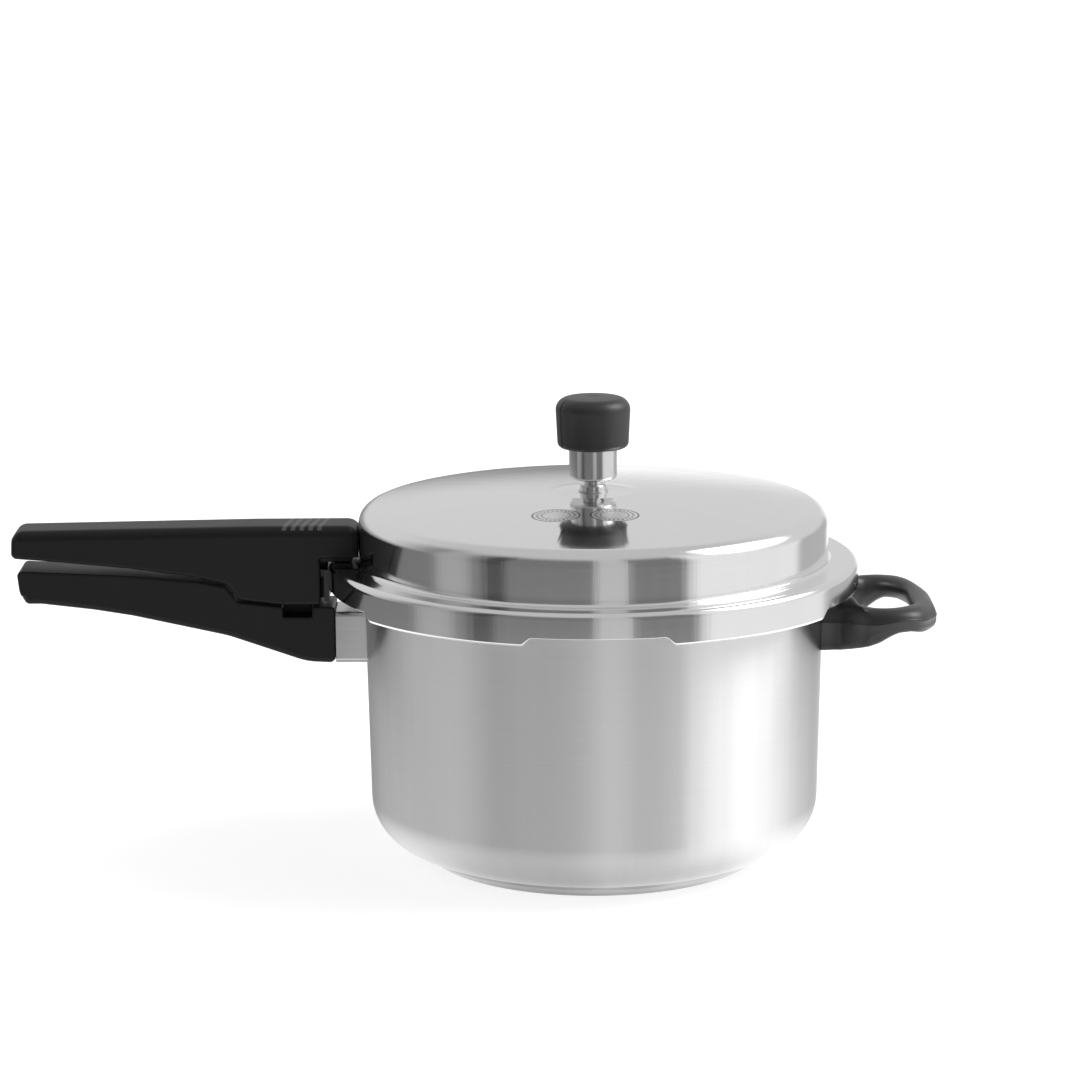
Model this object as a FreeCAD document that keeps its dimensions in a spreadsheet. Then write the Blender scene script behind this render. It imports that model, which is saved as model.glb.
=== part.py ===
import FreeCAD, Part
import math
import os
import re

import Sketcher
from FreeCAD import Placement, Rotation, Vector

# Stovetop pressure cooker with an outer lid. +Z is up, the origin is the centre of the underside,
# the long handles point along -X and the small loop handle along +X.

# Driving dimensions, in millimetres and degrees.
SIZES = {
    # pan
    "pan_radius": 101.8,
    "pan_low_radius": 100,
    "pan_sheet": 1.5,
    "pan_corner": 34,
    "base_height": 6,
    "rim_height": 126,
    "rim_radius": 109.5,
    "rim_bend": 2,
    "rim_lip": 4.2,
    "pan_lug_radius": 115,
    "pan_lug_angle": 28,
    # bayonet pattern shared by pan and lid
    "lug_count": 5,
    "lug_phase": 18,
    # sandwich base
    "cap_radius": 76,
    "cap_sheet": 1,
    "cap_corner": 5,
    "cap_rise": 7.2,
    # lid
    "lid_radius": 104,
    "lid_sheet": 1.5,
    "lid_crown": 164.3,
    "lid_edge": 157.5,
    "lid_shoulder": 8,
    "flange_height": 134.7,
    "flange_fillet": 2,
    "skirt_radius": 117.3,
    "skirt_corner": 3,
    "skirt_bottom": 123.7,
    "lid_lug_bottom": 119.8,
    "lid_lug_reach": 110.3,
    "lid_lug_angle": 42,
    # gasket
    "gasket_inner": 104.6,
    "gasket_outer": 115.6,
    "gasket_bottom": 126.5,
    "gasket_top": 133,
    "gasket_round": 2,
    "gasket_groove": 2.5,
    # handles, measured outwards from the cooker's axis
    "handle_width": 25,
    "handle_round": 4,
    "lower_round": 2.5,
    "grip_front": 120.8,
    "grip_seat": 137.5,
    "grip_step_low": 156.5,
    "grip_step_high": 162,
    "grip_knee": 174,
    "grip_waist": 204,
    "grip_tip": 257,
    "grip_nose": 102.5,
    "nose_height": 137.2,
    "upper_top": 151.2,
    "upper_tip_top": 149.6,
    "upper_seat": 116.2,
    "upper_step_low": 118.5,
    "upper_step_high": 125.5,
    "upper_knee": 128.6,
    "upper_waist": 132.9,
    "upper_tip": 137.8,
    "lower_seat": 115.1,
    "lower_step_low": 117.4,
    "lower_step_high": 124.4,
    "lower_knee": 126.6,
    "lower_waist": 129.6,
    "lower_tip": 132.3,
    "lower_step_shift": 1,
    "lower_reach": 255,
    "lower_bottom_front": 89.5,
    "lower_bottom_knee": 91.2,
    "lower_bottom_mid": 103.2,
    "lower_bottom_waist": 111.5,
    "lower_bottom_tip": 117,
    "catch_slot_start": 124.8,
    "catch_slot_depth": 4.5,
    # flame guard sleeve
    "guard_reach": 114.5,
    "guard_top": 112.8,
    "guard_bottom": 89.6,
    "guard_width": 24,
    "guard_sheet": 1,
    "guard_round": 2,
    # brackets and their screws
    "strip": 3,
    "strip_width": 16,
    "weld_width": 20,
    "weld_sheet": 2,
    "slot_play": 0.2,
    "lid_strip_height": 128.2,
    "lid_strip_reach": 154,
    "lid_weld_top": 131.4,
    "lid_weld_bottom": 117.5,
    "pan_strip_height": 104,
    "pan_strip_reach": 152,
    "pan_weld_top": 111.5,
    "pan_weld_bottom": 92,
    "helper_strip_height": 106,
    "helper_strip_reach": 117,
    "helper_weld_top": 113,
    "helper_weld_bottom": 98,
    "screw_radius": 2.5,
    "screw_head": 4.2,
    "screw_head_height": 3,
    "screw_end": 3,
    "upper_screw_a": 130,
    "upper_screw_b": 147,
    "upper_screw_seat": 121.5,
    "lower_screw": 141,
    "lower_screw_seat": 100.5,
    "helper_screw": 111,
    "helper_screw_seat": 101.5,
    # helper handle
    "loop_reach": 151.5,
    "loop_half": 42,
    "loop_top": 118,
    "loop_under": 108,
    "loop_round": 3.5,
    "loop_root_half": 17,
    "loop_root_top": 114,
    "loop_root_under": 93,
    "loop_root_end": 120,
    "loop_shoulder": 124,
    "loop_hole_start": 121,
    "loop_hole_end": 140,
    "loop_hole_half": 28,
    # vent pipe, its washer and nut
    "vent_hole": 5,
    "vent_thread": 4.8,
    "vent_thread_end": 148,
    "vent_collar": 6,
    "vent_washer_radius": 6.45,
    "vent_washer_sheet": 0.6,
    "vent_collar_top": 167.6,
    "vent_neck": 4.1,
    "vent_neck_top": 178,
    "vent_mouth": 2.8,
    "vent_tip": 180,
    "vent_bore": 1.3,
    "nut_flats": 14,
    "nut_height": 5,
    "nut_play": 0.15,
    # weight
    "weight_radius": 10.6,
    "weight_bottom": 170,
    "weight_top": 189,
    "weight_corner": 1.5,
    "weight_bore": 4.7,
    "weight_bore_top": 184,
    "clip_height": 173.5,
    "clip_wire": 0.45,
    "clip_groove": 0.6,
    "pin_radius": 3,
    "pin_tip": 178.9,
    "stud_radius": 3,
    "stud_top": 199.5,
    "cap_bottom": 184,
    "cap_top": 206.6,
    "cap_wide": 16.8,
    "cap_narrow": 15.8,
    "cap_low_round": 4,
    "cap_top_round": 8.6,
    # safety valve, measured from the lid's outer face
    "safety_x": 1.5,
    "safety_y": 80,
    "safety_hole": 5.2,
    "safety_thread": 5,
    "safety_head": 7.5,
    "safety_head_height": 4.2,
    "safety_washer_sheet": 0.8,
    "safety_shank": 9,
    "safety_bore": 2,
    # how far a cut runs past the surface it opens
    "cut_margin": 5,
}

SHEET = "Sizes"
doc = FreeCAD.newDocument("pressure_cooker")


def fill_sheet():
    """Write every driving dimension into the spreadsheet under its own alias."""
    sheet = doc.addObject("Spreadsheet::Sheet", SHEET)
    for row, (alias, value) in enumerate(SIZES.items(), start=1):
        sheet.set(f"A{row}", alias)
        sheet.set(f"B{row}", str(value))
        sheet.setAlias(f"B{row}", alias)
    doc.recompute()


def bind(formula):
    """Prefix every alias in a formula with the sheet's name."""
    def prefix(match):
        word = match.group(0)
        return f"{SHEET}.{word}" if word in SIZES else word

    return re.sub(r"[a-z]\w*", prefix, str(formula))


# ---------------------------------------------------------------- modelling helpers

def new_body(label):
    body = doc.addObject("PartDesign::Body", label)
    body.Label = label
    return body


def value_of(body, formula):
    return float(body.evalExpression(bind(formula)))


def new_sketch(body, name, role, height=None):
    """A sketch on one of the body's origin planes, raised along the plane's normal by a formula."""
    plane = next(item for item in body.Origin.OriginFeatures if item.Role == role)
    sketch = body.newObject("Sketcher::SketchObject", name)
    sketch.AttachmentSupport = (plane, [""])
    sketch.MapMode = "FlatFace"
    if height is not None:
        sketch.setExpression("AttachmentOffset.Base.z", bind(height))
    return sketch


def constrain(sketch, kind, parts, value, formula):
    index = sketch.addConstraint(Sketcher.Constraint(kind, *parts, value))
    sketch.setExpression(f"Constraints[{index}]", bind(formula))


def arc_centre(start, end, radius):
    """Centre of the short arc from start to end: left of the way for a positive radius."""
    middle = (start + end) * 0.5
    way = end - start
    height = math.sqrt(max(radius * radius - way.Length ** 2 / 4, 0))
    left = Vector(-way.y, way.x, 0).normalize()
    return middle + left * math.copysign(height, radius)


def draw_outline(body, sketch, outline):
    """A closed outline. Each point is (x, y) or (x, y, radius): the radius bends the edge that
    leaves the point, anticlockwise when positive."""
    points = [Vector(value_of(body, p[0]), value_of(body, p[1]), 0) for p in outline]
    edges = []
    for i, point in enumerate(points):
        following = points[(i + 1) % len(points)]
        if len(outline[i]) == 2:
            index = sketch.addGeometry(Part.LineSegment(point, following), False)
            edges.append((index, 1, 2))
            continue
        radius = value_of(body, outline[i][2])
        centre = arc_centre(point, following, radius)
        circle = Part.Circle(centre, Vector(0, 0, 1), abs(radius))
        first, last = (point, following) if radius > 0 else (following, point)
        arc = Part.ArcOfCircle(circle, circle.parameter(first), circle.parameter(last))
        index = sketch.addGeometry(arc, False)
        edges.append((index, 1, 2) if radius > 0 else (index, 2, 1))
    for i, (index, start, _) in enumerate(edges):
        before, _, end = edges[i - 1]
        sketch.addConstraint(Sketcher.Constraint("Coincident", before, end, index, start))
        constrain(sketch, "DistanceX", (-1, 1, index, start), points[i].x, outline[i][0])
        constrain(sketch, "DistanceY", (-1, 1, index, start), points[i].y, outline[i][1])
        if len(outline[i]) == 3:
            bend = outline[i][2]
            constrain(sketch, "Radius", (index,), abs(value_of(body, bend)), f"abs({bend})")


def draw_circle(body, sketch, x, y, radius):
    centre = Vector(value_of(body, x), value_of(body, y), 0)
    size = value_of(body, radius)
    index = sketch.addGeometry(Part.Circle(centre, Vector(0, 0, 1), size), False)
    constrain(sketch, "DistanceX", (-1, 1, index, 3), centre.x, x)
    constrain(sketch, "DistanceY", (-1, 1, index, 3), centre.y, y)
    constrain(sketch, "Radius", (index,), size, radius)


def changed(body, feature, grows):
    """Recompute, and stop if the feature did not add or remove material as it should."""
    base = feature.BaseFeature.Shape.Volume if feature.BaseFeature else 0
    doc.recompute()
    difference = feature.Shape.Volume - base
    if difference * (1 if grows else -1) <= 0:
        raise RuntimeError(f"{body.Label}/{feature.Label} changed the volume by {difference:.3f}")
    return feature


def revolve(body, name, outline, angle=None, start=None, cut=False):
    """Turn an XZ outline about Z: the full circle, or an angle centred on a start direction."""
    sketch = new_sketch(body, name + "_outline", "XZ_Plane")
    draw_outline(body, sketch, outline)
    feature = body.newObject("PartDesign::Groove" if cut else "PartDesign::Revolution", name)
    feature.Profile = sketch
    feature.ReferenceAxis = (sketch, ["V_Axis"])
    feature.Angle = 360
    if angle is not None:
        sketch.setExpression("AttachmentOffset.Rotation.Angle", bind(start))
        sketch.setExpression("AttachmentOffset.Rotation.Axis.y", "1")
        sketch.setExpression("AttachmentOffset.Rotation.Axis.z", "0")
        feature.Midplane = True
        feature.setExpression("Angle", bind(angle))
    return changed(body, feature, not cut)


def repeat_around(body, name, feature):
    """Repeat a feature lug_count times about Z."""
    pattern = body.newObject("PartDesign::PolarPattern", name)
    pattern.Originals = [feature]
    pattern.Axis = (feature.Profile[0], ["V_Axis"])
    pattern.Angle = 360
    pattern.setExpression("Occurrences", bind("lug_count"))
    body.Tip = pattern
    return changed(body, pattern, True)


def pad(body, name, role, outline, length, height=None, symmetric=False):
    sketch = new_sketch(body, name + "_outline", role, height)
    draw_outline(body, sketch, outline)
    feature = body.newObject("PartDesign::Pad", name)
    feature.Profile = sketch
    feature.SideType = "Symmetric" if symmetric else "One side"
    feature.setExpression("Length", bind(length))
    return changed(body, feature, True)


def pocket(body, name, role, outline, length, height=None, symmetric=False):
    """Cut an outline. On XY the cut goes up from the sketch's height."""
    sketch = new_sketch(body, name + "_outline", role, height)
    draw_outline(body, sketch, outline)
    feature = body.newObject("PartDesign::Pocket", name)
    feature.Profile = sketch
    feature.SideType = "Symmetric" if symmetric else "One side"
    feature.Reversed = not symmetric
    feature.setExpression("Length", bind(length))
    return changed(body, feature, False)


def drill(body, name, x, y, radius, bottom, top):
    """A vertical round hole between two heights."""
    sketch = new_sketch(body, name + "_outline", "XY_Plane", bottom)
    draw_circle(body, sketch, x, y, radius)
    feature = body.newObject("PartDesign::Pocket", name)
    feature.Profile = sketch
    feature.Reversed = True
    feature.setExpression("Length", bind(f"({top}) - ({bottom})"))
    return changed(body, feature, False)


def post(body, name, x, y, radius, bottom, top):
    """A vertical round post between two heights."""
    sketch = new_sketch(body, name + "_outline", "XY_Plane", bottom)
    draw_circle(body, sketch, x, y, radius)
    feature = body.newObject("PartDesign::Pad", name)
    feature.Profile = sketch
    feature.setExpression("Length", bind(f"({top}) - ({bottom})"))
    return changed(body, feature, True)


def round_edges(body, name, radius, choose):
    """Fillet every edge of the body's tip that the test chooses."""
    base = body.Tip
    names = [f"Edge{i}" for i, edge in enumerate(base.Shape.Edges, start=1) if choose(edge)]
    feature = body.newObject("PartDesign::Fillet", name)
    feature.Base = (base, names)
    feature.setExpression("Radius", bind(radius))
    doc.recompute()
    return feature


def box_outline(left, bottom, right, top):
    return [(left, bottom), (right, bottom), (right, top), (left, top)]


# ---------------------------------------------------------------- pan

WALL_BOTTOM = "base_height + pan_corner"
WALL_TOP = "rim_height - pan_sheet - rim_bend"
RIM_BEND_IN = "rim_bend + pan_sheet"


def make_pan_body():
    """Drawn pan: flat floor, large corner, slightly flared wall and a turned-out rim with lugs."""
    body = new_body("pan_body")
    inner_corner = "pan_corner - pan_sheet"
    revolve(body, "wall", [
        ("0", "base_height"),
        ("pan_low_radius - pan_corner", "base_height", "pan_corner"),
        ("pan_low_radius", WALL_BOTTOM),
        ("pan_radius", WALL_TOP, "-rim_bend"),
        ("pan_radius + rim_bend", "rim_height - pan_sheet"),
        ("rim_radius - pan_sheet", "rim_height - pan_sheet"),
        ("rim_radius - pan_sheet", "rim_height - rim_lip"),
        ("rim_radius", "rim_height - rim_lip"),
        ("rim_radius", "rim_height - pan_sheet", "pan_sheet"),
        ("rim_radius - pan_sheet", "rim_height"),
        ("pan_radius + rim_bend", "rim_height", RIM_BEND_IN),
        ("pan_radius - pan_sheet", WALL_TOP),
        ("pan_low_radius - pan_sheet", WALL_BOTTOM, f"-({inner_corner})"),
        ("pan_low_radius - pan_corner", "base_height + pan_sheet"),
        ("0", "base_height + pan_sheet"),
    ])
    lug = revolve(body, "lug", [
        ("rim_radius - pan_sheet", "rim_height - pan_sheet"),
        ("pan_lug_radius - pan_sheet", "rim_height - pan_sheet"),
        ("pan_lug_radius - pan_sheet", "rim_height - rim_lip"),
        ("pan_lug_radius", "rim_height - rim_lip"),
        ("pan_lug_radius", "rim_height - pan_sheet", "pan_sheet"),
        ("pan_lug_radius - pan_sheet", "rim_height"),
        ("rim_radius - pan_sheet", "rim_height"),
    ], angle="pan_lug_angle", start="lug_phase")
    repeat_around(body, "lugs", lug)
    return body


def make_base_core_disc():
    body = new_body("base_core_disc")
    post(body, "disc", "0", "0", "pan_low_radius - pan_corner", "cap_sheet", "base_height")
    return body


def make_base_cap():
    """Pressed steel cup that seals the core disc and meets the pan's corner."""
    body = new_body("base_cap")
    revolve(body, "cup", [
        ("0", "0"),
        ("cap_radius - cap_corner", "0", "cap_corner"),
        ("cap_radius", "cap_corner"),
        ("cap_radius", "cap_rise"),
        ("cap_radius - cap_sheet", "cap_rise - 0.2"),
        ("cap_radius - cap_sheet", "cap_corner", "-(cap_corner - cap_sheet)"),
        ("cap_radius - cap_corner", "cap_sheet"),
        ("0", "cap_sheet"),
    ])
    return body


def clear_pan_wall(body):
    """Cut away what would lie inside the pan's wall, so that a bracket lies on it."""
    revolve(body, "wall_side", [
        ("0", WALL_BOTTOM),
        ("pan_low_radius", WALL_BOTTOM),
        ("pan_radius", WALL_TOP),
        ("0", WALL_TOP),
    ], cut=True)


def make_pan_bracket(label, side, strip_height, strip_reach, weld_bottom, weld_top, screw):
    """Welded foot on the wall and a flat strip that carries a handle. side is -1 or +1."""
    body = new_body(label)
    foot_in = f"{side} * (pan_radius - 4)"
    foot_out = f"{side} * (pan_radius + weld_sheet)"
    pad(body, "weld_foot", "XZ_Plane", box_outline(foot_in, weld_bottom, foot_out, weld_top),
        "weld_width", symmetric=True)
    pad(body, "strip", "XY_Plane",
        box_outline(foot_in, "-strip_width / 2", f"{side} * {strip_reach}", "strip_width / 2"),
        "strip", strip_height)
    clear_pan_wall(body)
    drill(body, "screw_hole", f"{side} * {screw}", "0", "screw_radius", strip_height,
          f"{strip_height} + strip")
    return body


def make_flame_guard():
    """Square steel sleeve round the lower handle's bracket, from the wall to the handle."""
    body = new_body("flame_guard")
    inner = "pan_radius - 6"
    pad(body, "sleeve", "XZ_Plane",
        box_outline("-guard_reach", "guard_bottom", f"-({inner})", "guard_top"),
        "guard_width", symmetric=True)
    round_edges(body, "rounding", "guard_round", is_along_x)
    pocket(body, "passage", "XZ_Plane",
           box_outline("-guard_reach", "guard_bottom + guard_sheet", f"-({inner})",
                       "guard_top - guard_sheet"),
           "guard_width - 2 * guard_sheet", symmetric=True)
    clear_pan_wall(body)
    return body


def is_along_x(edge):
    if not isinstance(edge.Curve, Part.Line):
        return False
    return abs(abs(edge.Curve.Direction.x) - 1) < 1e-6


# ---------------------------------------------------------------- long handles

def make_upper_handle():
    """Bakelite handle on the lid: its underside is turned about the lid's axis, so that it
    passes over the lower handle, and its nose lies over the lid's flange."""
    body = new_body("upper_handle")
    pad(body, "side_view", "XZ_Plane", [
        ("-grip_tip", "upper_tip"),
        ("-grip_tip", "upper_tip_top - 2", "-2"),
        ("-grip_tip + 2", "upper_tip_top"),
        ("-grip_front", "upper_top"),
        ("-grip_nose - handle_round", "upper_top", "-handle_round"),
        ("-grip_nose", "upper_top - handle_round"),
        ("-grip_nose", "nose_height"),
        ("-grip_front", "nose_height"),
        ("-grip_front", "upper_seat"),
        ("-grip_step_low", "upper_seat"),
    ], "handle_width", symmetric=True)
    revolve(body, "turning_face", [
        ("grip_front - cut_margin", "upper_seat - 2 * cut_margin"),
        ("grip_tip + cut_margin", "upper_seat - 2 * cut_margin"),
        ("grip_tip + cut_margin", "upper_tip"),
        ("grip_waist", "upper_waist"),
        ("grip_knee", "upper_knee"),
        ("grip_step_high", "upper_step_high"),
        ("grip_step_low", "upper_step_low"),
        ("grip_seat", "upper_seat"),
        ("grip_front - cut_margin", "upper_seat"),
    ], cut=True)
    round_edges(body, "rounding", "handle_round", is_upper_side_edge)
    revolve(body, "lid_side", [
        ("0", "nose_height - 1"),
        ("lid_radius + 0.05", "nose_height - 1"),
        ("lid_radius + 0.05", "upper_top + 1"),
        ("0", "upper_top + 1"),
    ], cut=True)
    pocket(body, "strip_slot", "XY_Plane",
           box_outline("-lid_strip_reach - slot_play", "-strip_width / 2 - slot_play",
                       "-grip_front + 1", "strip_width / 2 + slot_play"),
           "strip + 2 * slot_play", "lid_strip_height - slot_play")
    for name, reach in (("screw_a", "upper_screw_a"), ("screw_b", "upper_screw_b")):
        drill(body, name + "_recess", f"-{reach}", "0", "screw_head + slot_play",
              "upper_seat - 2", "upper_screw_seat")
        drill(body, name + "_hole", f"-{reach}", "0", "screw_radius + slot_play",
              "upper_seat", "lid_strip_height + strip + screw_end + 1")
    return body


def is_upper_side_edge(edge):
    """The long edges along the top of the upper handle."""
    box = edge.BoundBox
    side = SIZES["handle_width"] / 2
    flat = abs(abs(box.YMin) - side) < 1e-6 and abs(box.YMax - box.YMin) < 1e-6
    return flat and box.ZMin > SIZES["upper_tip_top"] - 3 and box.XLength > 0.5


def make_lower_handle():
    """Bakelite handle on the pan, with a catch slot across its seat."""
    body = new_body("lower_handle")
    pad(body, "side_view", "XZ_Plane", [
        ("-lower_reach", "lower_tip - 4"),
        ("-lower_reach", "upper_tip"),
        ("-guard_reach", "upper_tip"),
        ("-guard_reach", "lower_bottom_front"),
        ("-grip_front - cut_margin", "lower_bottom_knee"),
        ("-grip_step_high", "lower_bottom_mid"),
        ("-grip_waist", "lower_bottom_waist"),
        ("-lower_reach + 12", "lower_bottom_tip"),
        ("-lower_reach + 4", "lower_bottom_tip"),
    ], "handle_width", symmetric=True)
    revolve(body, "turning_face", [
        ("guard_reach - cut_margin", "lower_seat"),
        ("grip_seat", "lower_seat"),
        ("grip_step_low + lower_step_shift", "lower_step_low"),
        ("grip_step_high + lower_step_shift", "lower_step_high"),
        ("grip_knee", "lower_knee"),
        ("grip_waist", "lower_waist"),
        ("grip_tip + cut_margin", "lower_tip"),
        ("grip_tip + cut_margin", "upper_tip + cut_margin"),
        ("guard_reach - cut_margin", "upper_tip + cut_margin"),
    ], cut=True)
    round_edges(body, "rounding", "lower_round", is_lower_side_edge)
    revolve(body, "catch_slot", [
        ("catch_slot_start", "lower_seat - catch_slot_depth"),
        ("grip_seat", "lower_seat - catch_slot_depth"),
        ("grip_seat", "lower_seat + 1"),
        ("catch_slot_start", "lower_seat + 1"),
    ], cut=True)
    pocket(body, "strip_slot", "XY_Plane",
           box_outline("-pan_strip_reach - slot_play", "-strip_width / 2 - slot_play",
                       "-guard_reach + 1", "strip_width / 2 + slot_play"),
           "strip + 2 * slot_play", "pan_strip_height - slot_play")
    drill(body, "screw_recess", "-lower_screw", "0", "screw_head + slot_play",
          "lower_bottom_front", "lower_screw_seat")
    drill(body, "screw_hole", "-lower_screw", "0", "screw_radius + slot_play",
          "lower_bottom_front", "pan_strip_height + strip + screw_end + 1")
    return body


# Every edge below a line that rises this much along the lower handle is on its underside.
UNDERSIDE_RISE = 0.26


def is_lower_side_edge(edge):
    """The long edges along the underside of the lower handle."""
    box = edge.BoundBox
    side = SIZES["handle_width"] / 2
    flat = abs(abs(box.YMin) - side) < 1e-6 and abs(box.YMax - box.YMin) < 1e-6
    limit = SIZES["lower_bottom_front"] + (-box.Center.x - SIZES["guard_reach"]) * UNDERSIDE_RISE
    return flat and box.XLength > 5 and box.Center.z < limit


def add_screw(body, name, x, seat, end):
    """A pan-head screw, head down, with its shank up to a height."""
    post(body, name + "_head", x, "0", "screw_head", f"{seat} - screw_head_height", seat)
    post(body, name + "_shank", x, "0", "screw_radius", seat, end)


def make_screws(label, screws, strip_height):
    """One screw is a body. A group of screws is a set of separate bodies joined as a compound."""
    bodies = []
    for number, (x, seat) in enumerate(screws):
        body = new_body(label if len(screws) == 1 else f"{label}_{number + 1}")
        add_screw(body, "screw", x, seat, f"{strip_height} + strip + screw_end")
        bodies.append(body)
    if len(bodies) == 1:
        return bodies[0]
    group = doc.addObject("Part::Compound", label)
    group.Links = bodies
    group.Label = label
    doc.recompute()
    return group


# ---------------------------------------------------------------- helper handle

def make_helper_handle():
    """Bakelite loop: a D-shaped ring with a deeper root that takes the bracket's strip."""
    body = new_body("helper_handle")
    pad(body, "plan_view", "XY_Plane", [
        ("pan_radius - 10", "-loop_root_half"),
        ("pan_radius + cut_margin", "-loop_root_half"),
        ("loop_shoulder - 4", "-loop_half + 4", "6"),
        ("loop_shoulder + 2", "-loop_half", "36"),
        ("loop_reach", "0", "36"),
        ("loop_shoulder + 2", "loop_half", "6"),
        ("loop_shoulder - 4", "loop_half - 4"),
        ("pan_radius + cut_margin", "loop_root_half"),
        ("pan_radius - 10", "loop_root_half"),
    ], "loop_top - loop_root_under", "loop_root_under")
    pocket(body, "side_view_under", "XZ_Plane", [
        ("pan_radius - 12", "loop_root_under - 1"),
        ("loop_reach + cut_margin", "loop_root_under - 1"),
        ("loop_reach + cut_margin", "loop_under"),
        ("loop_shoulder + 10", "loop_under"),
        ("loop_root_end + 6", "loop_root_under + 7"),
        ("pan_radius - 12", "loop_root_under"),
    ], "3 * loop_half", symmetric=True)
    pocket(body, "side_view_top", "XZ_Plane", [
        ("pan_radius - 12", "loop_root_top"),
        ("skirt_radius - 2", "loop_root_top"),
        ("loop_root_end + 2", "loop_top"),
        ("loop_root_end + 2", "loop_top + 1"),
        ("pan_radius - 12", "loop_top + 1"),
    ], "3 * loop_half", symmetric=True)
    half_length = "(loop_hole_end - loop_hole_start) / 2"
    pocket(body, "finger_hole", "XY_Plane", [
        ("loop_hole_start", f"-loop_hole_half + {half_length}", half_length),
        (f"loop_hole_start + {half_length}", "-loop_hole_half", half_length),
        ("loop_hole_end", f"-loop_hole_half + {half_length}", "60"),
        ("loop_hole_end", f"loop_hole_half - {half_length}", half_length),
        (f"loop_hole_start + {half_length}", "loop_hole_half", half_length),
        ("loop_hole_start", f"loop_hole_half - {half_length}"),
    ], "loop_top - loop_root_under + 2 * cut_margin", "loop_root_under - cut_margin")
    round_edges(body, "rounding", "loop_round", is_loop_rim_edge)
    clear_pan_wall(body)
    pocket(body, "foot_recess", "XZ_Plane",
           box_outline("pan_radius - cut_margin", "helper_weld_bottom - slot_play",
                       "pan_radius + weld_sheet + slot_play", "helper_weld_top + slot_play"),
           "weld_width + 2 * slot_play", symmetric=True)
    pocket(body, "strip_slot", "XY_Plane",
           box_outline("pan_radius - cut_margin", "-strip_width / 2 - slot_play",
                       "helper_strip_reach + slot_play", "strip_width / 2 + slot_play"),
           "strip + 2 * slot_play", "helper_strip_height - slot_play")
    drill(body, "screw_recess", "helper_screw", "0", "screw_head + slot_play",
          "loop_root_under - cut_margin", "helper_screw_seat")
    drill(body, "screw_hole", "helper_screw", "0", "screw_radius + slot_play",
          "loop_root_under", "helper_strip_height + strip + screw_end + 1")
    return body


def is_loop_rim_edge(edge):
    """The upper and lower outer edges of the ring, beyond the root."""
    box = edge.BoundBox
    level = box.ZLength < 1e-6
    at_rim = abs(box.ZMin - SIZES["loop_top"]) < 1e-6 or abs(box.ZMin - SIZES["loop_under"]) < 1e-6
    return level and at_rim and box.XMax > SIZES["loop_reach"] - 1


# ---------------------------------------------------------------- lid

DOME_RUN = "(lid_radius - lid_shoulder)"
DOME_RISE = "(lid_crown - lid_edge)"
DOME_RADIUS = f"(({DOME_RUN}^2 + {DOME_RISE}^2) / (2 * {DOME_RISE}))"
HOLE_DROP = f"(vent_hole^2 / (2 * {DOME_RADIUS}))"


def make_lid_shell():
    """Pressed lid: domed disc, shoulder, wall, flat flange, skirt and five inward lugs."""
    body = new_body("lid_shell")
    inner_skirt = "skirt_radius - lid_sheet"
    revolve(body, "pressing", [
        ("vent_hole", f"lid_crown - lid_sheet - {HOLE_DROP}", f"-{DOME_RADIUS}"),
        (DOME_RUN, "lid_edge - lid_sheet", "-(lid_shoulder - lid_sheet)"),
        ("lid_radius - lid_sheet", "lid_edge - lid_shoulder"),
        ("lid_radius - lid_sheet", "flange_height + flange_fillet", "flange_fillet + lid_sheet"),
        ("lid_radius + flange_fillet", "flange_height - lid_sheet"),
        ("skirt_radius - skirt_corner", "flange_height - lid_sheet",
         "-(skirt_corner - lid_sheet)"),
        (inner_skirt, "flange_height - skirt_corner"),
        (inner_skirt, "skirt_bottom"),
        ("skirt_radius", "skirt_bottom"),
        ("skirt_radius", "flange_height - skirt_corner", "skirt_corner"),
        ("skirt_radius - skirt_corner", "flange_height"),
        ("lid_radius + flange_fillet", "flange_height", "-flange_fillet"),
        ("lid_radius", "flange_height + flange_fillet"),
        ("lid_radius", "lid_edge - lid_shoulder", "lid_shoulder"),
        (DOME_RUN, "lid_edge", DOME_RADIUS),
        ("vent_hole", f"lid_crown - {HOLE_DROP}"),
    ])
    lug = revolve(body, "lug", [
        ("lid_lug_reach", "lid_lug_bottom"),
        ("skirt_radius - lid_sheet", "lid_lug_bottom", "lid_sheet"),
        ("skirt_radius", "lid_lug_bottom + lid_sheet"),
        ("skirt_radius", "skirt_bottom + 1"),
        (inner_skirt, "skirt_bottom + 1"),
        (inner_skirt, "lid_lug_bottom + lid_sheet"),
        ("lid_lug_reach", "lid_lug_bottom + lid_sheet"),
    ], angle="lid_lug_angle", start="lug_phase")
    repeat_around(body, "lugs", lug)
    drill(body, "safety_hole", "safety_x", "safety_y", "safety_hole",
          "lid_edge - cut_margin", "lid_crown + cut_margin")
    return body


def make_sealing_gasket():
    """Rubber ring in the lid's channel, with a groove that lets steam press its lips apart."""
    body = new_body("sealing_gasket")
    middle = "(gasket_top + gasket_bottom) / 2"
    revolve(body, "ring", [
        ("gasket_inner", "gasket_bottom"),
        ("gasket_outer", "gasket_bottom"),
        ("gasket_outer", "gasket_top - gasket_round", "gasket_round"),
        ("gasket_outer - gasket_round", "gasket_top"),
        ("gasket_inner + gasket_round", "gasket_top", "gasket_round"),
        ("gasket_inner", "gasket_top - gasket_round"),
        ("gasket_inner", f"{middle} + 0.8"),
        ("gasket_inner + gasket_groove", middle),
        ("gasket_inner", f"{middle} - 0.8"),
    ])
    return body


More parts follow.
